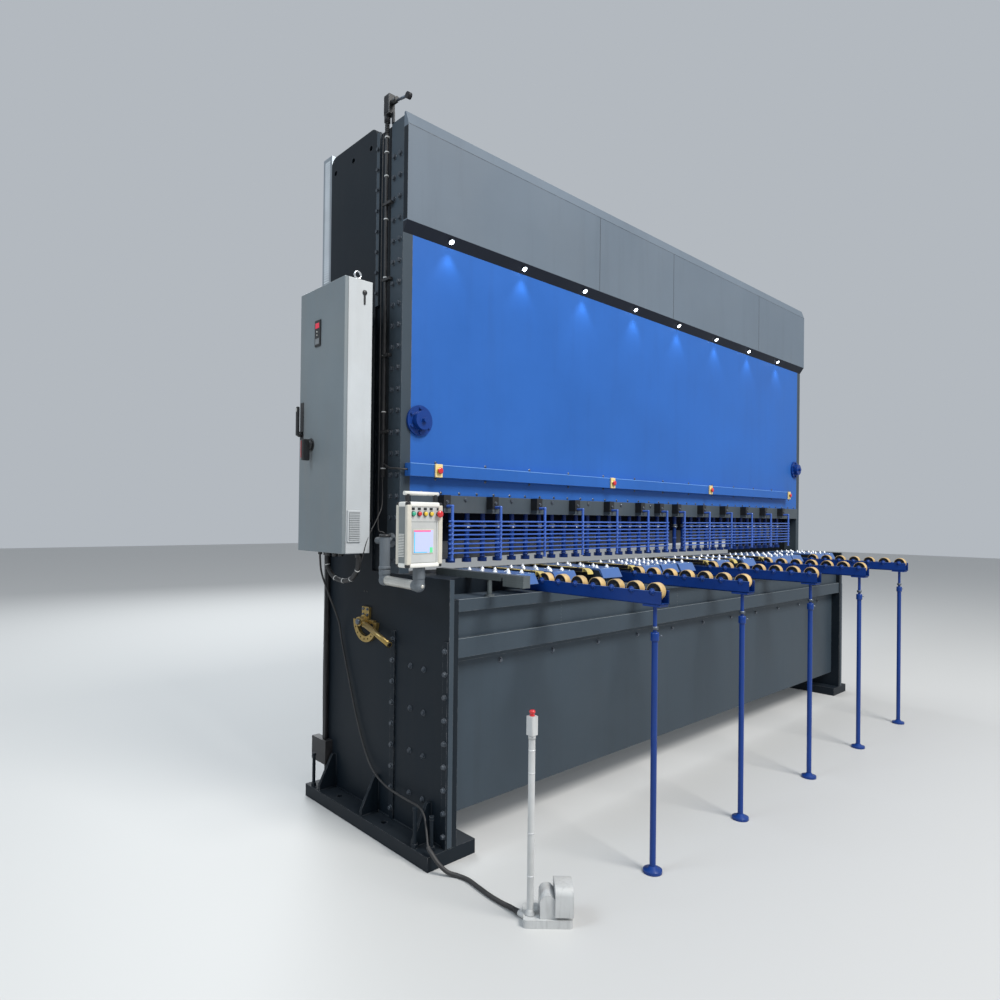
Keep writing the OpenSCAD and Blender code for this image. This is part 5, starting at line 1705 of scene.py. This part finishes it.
@dataclass
class ControlPanel:
    """The swing-out panel: housing, pale trim, keys, screen, side vents and handle."""

    x0: float = -0.216
    x1: float = -0.039
    y0: float = 0.0
    y1: float = 0.080
    z0: float = 1.218
    z1: float = 1.478

    def build(self) -> None:
        """Replaces the panel."""
        case = Builder("panel_case")
        self.housing(case)
        self.keys(case)
        self.screen(case)
        self.handle(case)
        case.piece("control_panel", "housing_beige", ["control_panel"])
        self.vent()

    def housing(self, case: Builder) -> None:
        """Adds the case with its corner posts, rounded trim bars and dark corner joints."""
        case.box(at(self.x0 + 0.003, self.y0 + 0.0042, self.z0 + 0.010), at(self.x1 - 0.003, self.y1 - 0.003,
                 self.z1 - 0.010), BEIGE_FACE, 0.002)
        for x in (self.x0 + 0.0115, self.x1 - 0.0115):
            for y in (self.y0 + 0.0095, self.y1 - 0.0095):
                case.box(at(x - 0.0115, y - 0.0095, self.z0 + 0.011), at(x + 0.0115, y + 0.0095, self.z1 - 0.011),
                         BEIGE, 0.006, 4)
        for z0, z1 in ((self.z0, self.z0 + 0.019), (self.z1 - 0.021, self.z1)):
            for y in (self.y0 + 0.0105, self.y1 - 0.0105):
                case.box(at(self.x0 + 0.0150, y - 0.0105, z0), at(self.x1 - 0.0150, y + 0.0105, z1), WHITE_TRIM,
                         0.0075, 5)
            for x in (self.x0 + 0.0105, self.x1 - 0.0105):
                case.box(at(x - 0.0105, self.y0 + 0.0150, z0), at(x + 0.0105, self.y1 - 0.0150, z1), WHITE_TRIM,
                         0.0075, 5)
                for y in (self.y0 + 0.0115, self.y1 - 0.0115):
                    case.box(at(x - 0.0090, y - 0.0090, z0 + 0.0010), at(x + 0.0090, y + 0.0090, z1 - 0.0010),
                             BLACK, 0.004, 3)
        for x in (self.x0 + 0.0030, self.x1 - 0.0030):
            case.box(at(x - 0.0005, self.y0 + 0.020, self.z0 + 0.019), at(x + 0.0005, self.y1 - 0.020,
                     self.z1 - 0.021), SIDE_GREY)

    def keys(self, case: Builder) -> None:
        """Adds the row of push buttons with their blank plates."""
        z = self.z1 - 0.047
        for k, finish in enumerate((KEY_GREEN, STOP_RED, KEY_YELLOW, KEY_YELLOW, STOP_RED)):
            x = self.x0 + 0.030 + 0.0295 * k + (0.006 if k == 4 else 0.0)
            face = self.y0 + 0.0042
            case.turned([(0.0, 0.0), (0.0105, 0.0), (0.0102, 0.0045), (0.0, 0.0045)], at(x, face, z), Facing.FRONT,
                        BLACK, 24)
            cap = [(0.0, 0.0), (0.0086, 0.0), (0.0086, 0.0080), (0.0074, 0.0100), (0.0, 0.0104)]
            if k == 4:
                cap = [(0.0, 0.0), (0.0095, 0.0), (0.0095, 0.0090), (0.0138, 0.0120), (0.0143, 0.0165),
                       (0.0118, 0.0200), (0.0, 0.0218)]
            case.turned(cap, at(x, face, z), Facing.FRONT, finish, 28)
            case.box(at(x - 0.0075, face - 0.0012, z + 0.0145), at(x + 0.0075, face + 0.0005, z + 0.0245), BLACK,
                     0.0006)

    def screen(self, case: Builder) -> None:
        """Adds the display's rim and its lit surface with plain coloured fields."""
        face = self.y0 + 0.0042
        left, right, low, high = self.x0 + 0.017, self.x0 + 0.147, self.z1 - 0.241, self.z1 - 0.078
        for a, b, c, d in ((left, low, right, low + 0.0014), (left, high - 0.0014, right, high),
                           (left, low, left + 0.0014, high), (right - 0.0014, low, right, high)):
            case.box(at(a, face - 0.0007, b), at(c, face + 0.0005, d), SIDE_GREY)
        left, right, low, high = self.x0 + 0.034, self.x0 + 0.128, self.z1 - 0.201, self.z1 - 0.112
        case.box(at(left - 0.004, face - 0.0024, low - 0.004), at(right + 0.004, face + 0.0005, high + 0.004), BEIGE,
                 0.0015)
        lit = face - 0.0030
        case.box(at(left, lit, low), at(right, face, high), SCREEN_BLUE)
        case.box(at(left, lit - 0.0003, high - 0.006), at(right - 0.012, face, high), SCREEN_RED)
        case.box(at(left, lit - 0.0003, low), at(left + 0.0045, face, high - 0.006), SCREEN_CYAN)
        case.box(at(left, lit - 0.0003, low), at(right - 0.030, face, low + 0.0035), SCREEN_CYAN)
        case.box(at(right - 0.017, lit - 0.0003, low), at(right - 0.002, face, low + 0.021), SCREEN_GREEN)

    def handle(self, case: Builder) -> None:
        """Adds the tube handle on its dark brackets."""
        z = 1.512
        case.rod(at(self.x0 + 0.004, 0.030, z), at(self.x1 - 0.004, 0.030, z), 0.0080, WHITE_TRIM, sides=24)
        for x in (self.x0 + 0.020, self.x1 - 0.020):
            case.box(at(x - 0.0070, 0.0232, self.z1 - 0.002), at(x + 0.0070, 0.0368, z), BLACK, 0.002)

    def vent(self) -> None:
        """Adds the white slatted vents on both sides of the panel."""
        slats = []
        for x in (self.x0 + 0.0016, self.x1 - 0.0016):
            slats += spots(Facing.UP, [x], [(self.y0 + self.y1) / 2], steps(self.z0 + 0.045, self.z0 + 0.135, 0.0062))
        grown("panel_vent", slats, block_tree(), {"Size": (0.0030, 0.036, 0.0032)}, WHITE_TRIM, "control_panel")


@dataclass
class PanelArm:
    """The clamps, screws and pivot of the panel's arm."""

    def build(self) -> None:
        """Adds the dark joints' ribs and screws."""
        joints = Builder("arm_joint_rings")
        for x, y, z0, z1 in ((-0.080, 0.355, 1.1640, 1.1840), (-0.120, 0.050, 1.1690, 1.2140)):
            joints.turned([(0.0, 0.0), (0.0250, 0.0), (0.0252, 0.003), (0.0252, z1 - z0 - 0.003), (0.0250, z1 - z0),
                           (0.0, z1 - z0)], at(x, y, z0), Facing.UP, GREY_CAST, 32)
        joints.turned([(0.0, 0.0), (0.0080, 0.0), (0.0070, 0.0035), (0.0, 0.0045)], at(-0.120, 0.0262, 1.140),
                      Facing.FRONT, SILVER_TUBE, 16)
        joints.piece("panel_arm", "housing_beige")
        bracket = Builder("arm_bracket_ribs")
        bracket.turned([(0.0, 0.0), (0.0260, 0.0), (0.0260, 0.010), (0.0245, 0.014), (0.0, 0.014)],
                       at(-0.080, 0.355, 1.187), Facing.UP, GREY_CAST, 32)
        bracket.turned([(0.0, 0.0), (0.0260, 0.0), (0.0250, 0.010), (0.0150, 0.013), (0.0, 0.013)],
                       at(-0.080, 0.355, 1.329), Facing.UP, BLACK, 32)
        bracket.turned([(0.0, 0.0), (0.033, 0.0), (0.033, 0.008), (0.0, 0.008)], at(-0.0085, 0.415, 1.312),
                       Facing.RIGHT, GREY_CAST, 28)
        bracket.piece("frame", "housing_beige")


@dataclass
class GapLever:
    """The hub nut, grip, end cap and plate screws of the blade gap lever."""

    y: float = 0.612
    z: float = 0.924

    def build(self) -> None:
        """Adds the hub's nut, the grip's cap and the plate's screws."""
        turn = math.radians(18)
        ahead = Vector((0.0, -math.cos(turn), -math.sin(turn)))
        hub = at(-0.0483, self.y, self.z)
        lever = Builder("lever_fittings")
        lever.turned([(0.0, 0.0), (0.0150, 0.0), (0.0150, 0.009), (0.0130, 0.011), (0.0, 0.011)], hub, Facing.LEFT,
                     BOLT_STEEL, 6)
        grip = at(-0.0353, self.y, self.z) + ahead * 0.036
        tip = at(-0.0353, self.y, self.z) + ahead * 0.2505
        lever.rod(grip, tip - ahead * 0.006, 0.0128, ZINC, sides=20)
        lever.rod(tip - ahead * 0.006, tip, 0.0138, ZINC, sides=20)
        lever.rod(tip - ahead * 0.004, tip + ahead * 0.0004, 0.0092, HUB_DARK, sides=16)
        lever.piece("gap_lever", "brass")
        ring = [Spot(at(-0.012, self.y + dy, self.z + dz), Facing.LEFT) for dy, dz in ((0.018, 0.056), (-0.018, 0.056),
                                                                                      (0.018, 0.03), (-0.018, 0.03))]
        Fastener(Head.SOCKET, 0.0055, 0.005, 0.0072, 0.001, BOLT_STEEL).set_on("quadrant_screws", ring, slot="brass")


@dataclass
class PedalStation:
    """The foot pedal's stand and stop button."""

    def build(self) -> None:
        """Adds the stand's foot collar, its top cap and its film rings, and replaces the stop button's cap."""
        low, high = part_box("pedal_post")
        centre = Vector(((low[0] + high[0]) / 2, (low[1] + high[1]) / 2, 0.0))
        trim = Builder("pedal_trim")
        trim.turned([(0.0, 0.0), (0.0185, 0.0), (0.0185, 0.004), (0.0130, 0.012), (0.0121, 0.020), (0.0, 0.020)],
                    (centre.x, centre.y, 0.028), Facing.UP, PEDAL_WHITE, 24)
        trim.turned([(0.0, 0.0), (0.0135, 0.0), (0.0135, 0.016), (0.0, 0.016)], (centre.x, centre.y, 0.643),
                    Facing.UP, PEDAL_WHITE, 24)
        for z in (0.16, 0.31, 0.52, 0.6):
            trim.turned([(0.0, 0.0), (0.0124, 0.0), (0.0126, 0.003), (0.0124, 0.006), (0.0, 0.006)],
                        (centre.x, centre.y, z), Facing.UP, FILM, 24)
        trim.piece("frame", "pedal_white")
        cap_low, cap_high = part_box("pedal_stop_button")
        cap = Builder("pedal_cap")
        foot = (centre.x, centre.y, cap_low[2])
        tall = cap_high[2] - cap_low[2]
        cap.turned([(0.0, 0.0), (0.0095, 0.0), (0.0095, 0.002), (0.0072, 0.006), (0.0072, 0.008), (0.0092, 0.0095),
                    (0.0110, tall - 0.009), (0.0108, tall - 0.004), (0.0085, tall - 0.001), (0.0, tall)], foot,
                   Facing.UP, STOP_RED, 32)
        cap.piece("frame", "stop_red", ["pedal_stop_button"])


@dataclass
class Trays:
    """The rear tray's slots, the conduits' ties and the thin cables on the side."""

    def build(self) -> None:
        """Adds the slots, the ties, the switch and the thin cables."""
        self.top_switch()
        slots = spots(Facing.UP, [-0.0002], [1.0455], steps(2.115, 3.27, 0.0125))
        grown("tray_slots", slots, block_tree(), {"Size": (0.0012, 0.050, 0.0062)}, SLOT_LIGHT)
        ties = spots(Facing.UP, [-0.009], [0.483], [1.64, 1.9, 2.16, 2.52, 2.79, 2.99, 3.1, 3.17])
        values = {"Radius": 0.0096, "Wire": 0.0021, "Stretch": (1.0, 1.0, 1.4)}
        grown("conduit_ties", ties, ring_tree(), values, TIE_WHITE)
        self.cable("post_wire", [(-0.020, 0.497, 3.19), (-0.021, 0.5, 2.9), (-0.020, 0.502, 2.5), (-0.021, 0.5, 2.1),
                                 (-0.020, 0.5, 1.7), (-0.024, 0.497, 1.45), (-0.045, 0.46, 1.36),
                                 (-0.070, 0.39, 1.35), (-0.078, 0.36, 1.345)], 0.0028)
        self.cable("rail_wire", [(-0.012, 0.470, 1.66), (-0.016, 0.42, 1.64), (-0.012, 0.365, 1.635),
                                 (0.002, 0.345, 1.632), (0.024, 0.338, 1.632)], 0.0042)
        self.cable("door_wire", [(-0.150, 0.448, 1.253), (-0.152, 0.436, 1.215), (-0.147, 0.43, 1.235),
                                 (-0.120, 0.432, 1.32), (-0.060, 0.44, 1.42), (-0.030, 0.455, 1.48),
                                 (-0.018, 0.474, 1.60)], 0.0026)
        self.cable("rear_wire_a", [(-0.012, 0.9995, 1.26), (-0.010, 0.998, 1.0), (-0.012, 0.9985, 0.6),
                                   (-0.014, 0.99, 0.3), (-0.018, 0.985, 0.278)], 0.0045)
        self.cable("rear_wire_b", [(-0.030, 0.94, 1.30), (-0.034, 0.95, 1.1), (-0.030, 0.955, 0.8),
                                   (-0.028, 0.95, 0.5), (-0.028, 0.948, 0.278)], 0.0038)

    def top_switch(self) -> None:
        """Replaces the limit switch: body on the conduit, lid, plunger arm and roller."""
        switch = Builder("top_switch")
        switch.box(at(-0.022, 0.452, 3.268), at(0.012, 0.496, 3.360), BLACK, 0.003)
        switch.box(at(-0.0235, 0.456, 3.276), at(-0.0215, 0.492, 3.352), HUB_DARK, 0.001)
        switch.rod(at(-0.009, 0.483, 3.185), at(-0.009, 0.483, 3.236), 0.0095, BLACK)
        for z in steps(3.190, 3.235, 0.008):
            switch.rod(at(-0.009, 0.483, z), at(-0.009, 0.483, z + 0.004), 0.0108, BLACK)
        switch.rod(at(-0.009, 0.483, 3.236), at(-0.009, 0.483, 3.270), 0.0145, HUB_DARK, sides=6)
        switch.rod(at(-0.005, 0.456, 3.318), at(-0.005, 0.410, 3.318), 0.013, BLACK)
        switch.rod(at(-0.005, 0.412, 3.312), at(-0.002, 0.335, 3.302), 0.0062, BOLT_STEEL)
        switch.rod(at(-0.010, 0.330, 3.300), at(0.010, 0.330, 3.300), 0.0145, HUB_DARK)
        switch.box(at(-0.004, 0.440, 3.225), at(0.004, 0.457, 3.275), BLACK, 0.001)
        switch.piece("frame", "black_plastic", ["limit_switch"])

    def cable(self, name: str, stops: Sequence[Point], radius: float) -> None:
        """Adds a thin fixed cable.

        Args:
            name: its name.
            stops: the points that it passes.
            radius: its radius.
        """
        route = [at(*p) for p in stops]
        line = smooth_route(route, 5)
        mesh = tube_mesh(line, [radius] * len(line), 8, name)
        mesh.materials.append(CABLE.material())
        settle(bpy.data.objects.new(name, mesh), "frame")


@dataclass
class RearSide:
    """The rims of the cylinders, the rods' flanges and the bolts of the ram."""

    rod_x: tuple[float, float] = (0.420, 3.780)
    ram_y: float = 0.513

    def build(self) -> None:
        """Adds the cylinders' rims, the rods' flanges and the blade's bolts."""
        low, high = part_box("ram_cylinders")
        rims = [Spot(Vector((at(x, 0, 0).x, at(0, self.ram_y, 0).y, z)), Facing.UP) for x in self.rod_x
                for z in (low[2] + 0.004, high[2] - 0.012)]
        values = {"Radius": 0.0455, "Wire": 0.004, "Stretch": (1.0, 1.0, 1.0)}
        grown("cylinder_rims", rims, ring_tree(), values, BOLT_STEEL)
        flange = Builder("rod_flanges")
        for x in self.rod_x:
            flange.turned([(0.0, 0.0), (0.0355, 0.0), (0.0355, 0.008), (0.0310, 0.012), (0.0, 0.012)],
                          at(x, self.ram_y, 2.9), Facing.UP, BOLT_STEEL, 32)
        flange.piece("ram", "arm_blue")
        bolts = [Spot(at(x, 0.55, 1.262 + 0.0218 * x), Facing.REAR) for x in steps(0.15, 4.05, 0.195)]
        Fastener(Head.HEX, 0.011, 0.009, 0.015, 0.002, BOLT_STEEL).set_on("blade_clamp_bolts", bolts, "ram",
                                                                          "arm_blue")


def main() -> None:
    """Builds each sub-assembly in order."""
    PhotoCamera().build()
    Studio().build()
    LampGlow().build()
    Cables().build()
    dress_nodes()
    for assembly in (SideFrames(), Fascia(), FrontPanel(), EmergencyStops(), HoldDowns(), Beam(), GuardFrames(), Table(),
                     RollerArms(), Cabinet(), ControlPanel(), PanelArm(), GapLever(), PedalStation(), Trays(),
                     RearSide()):
        assembly.build()
        log.info("%s built", type(assembly).__name__)


if __name__ == "__main__":
    main()
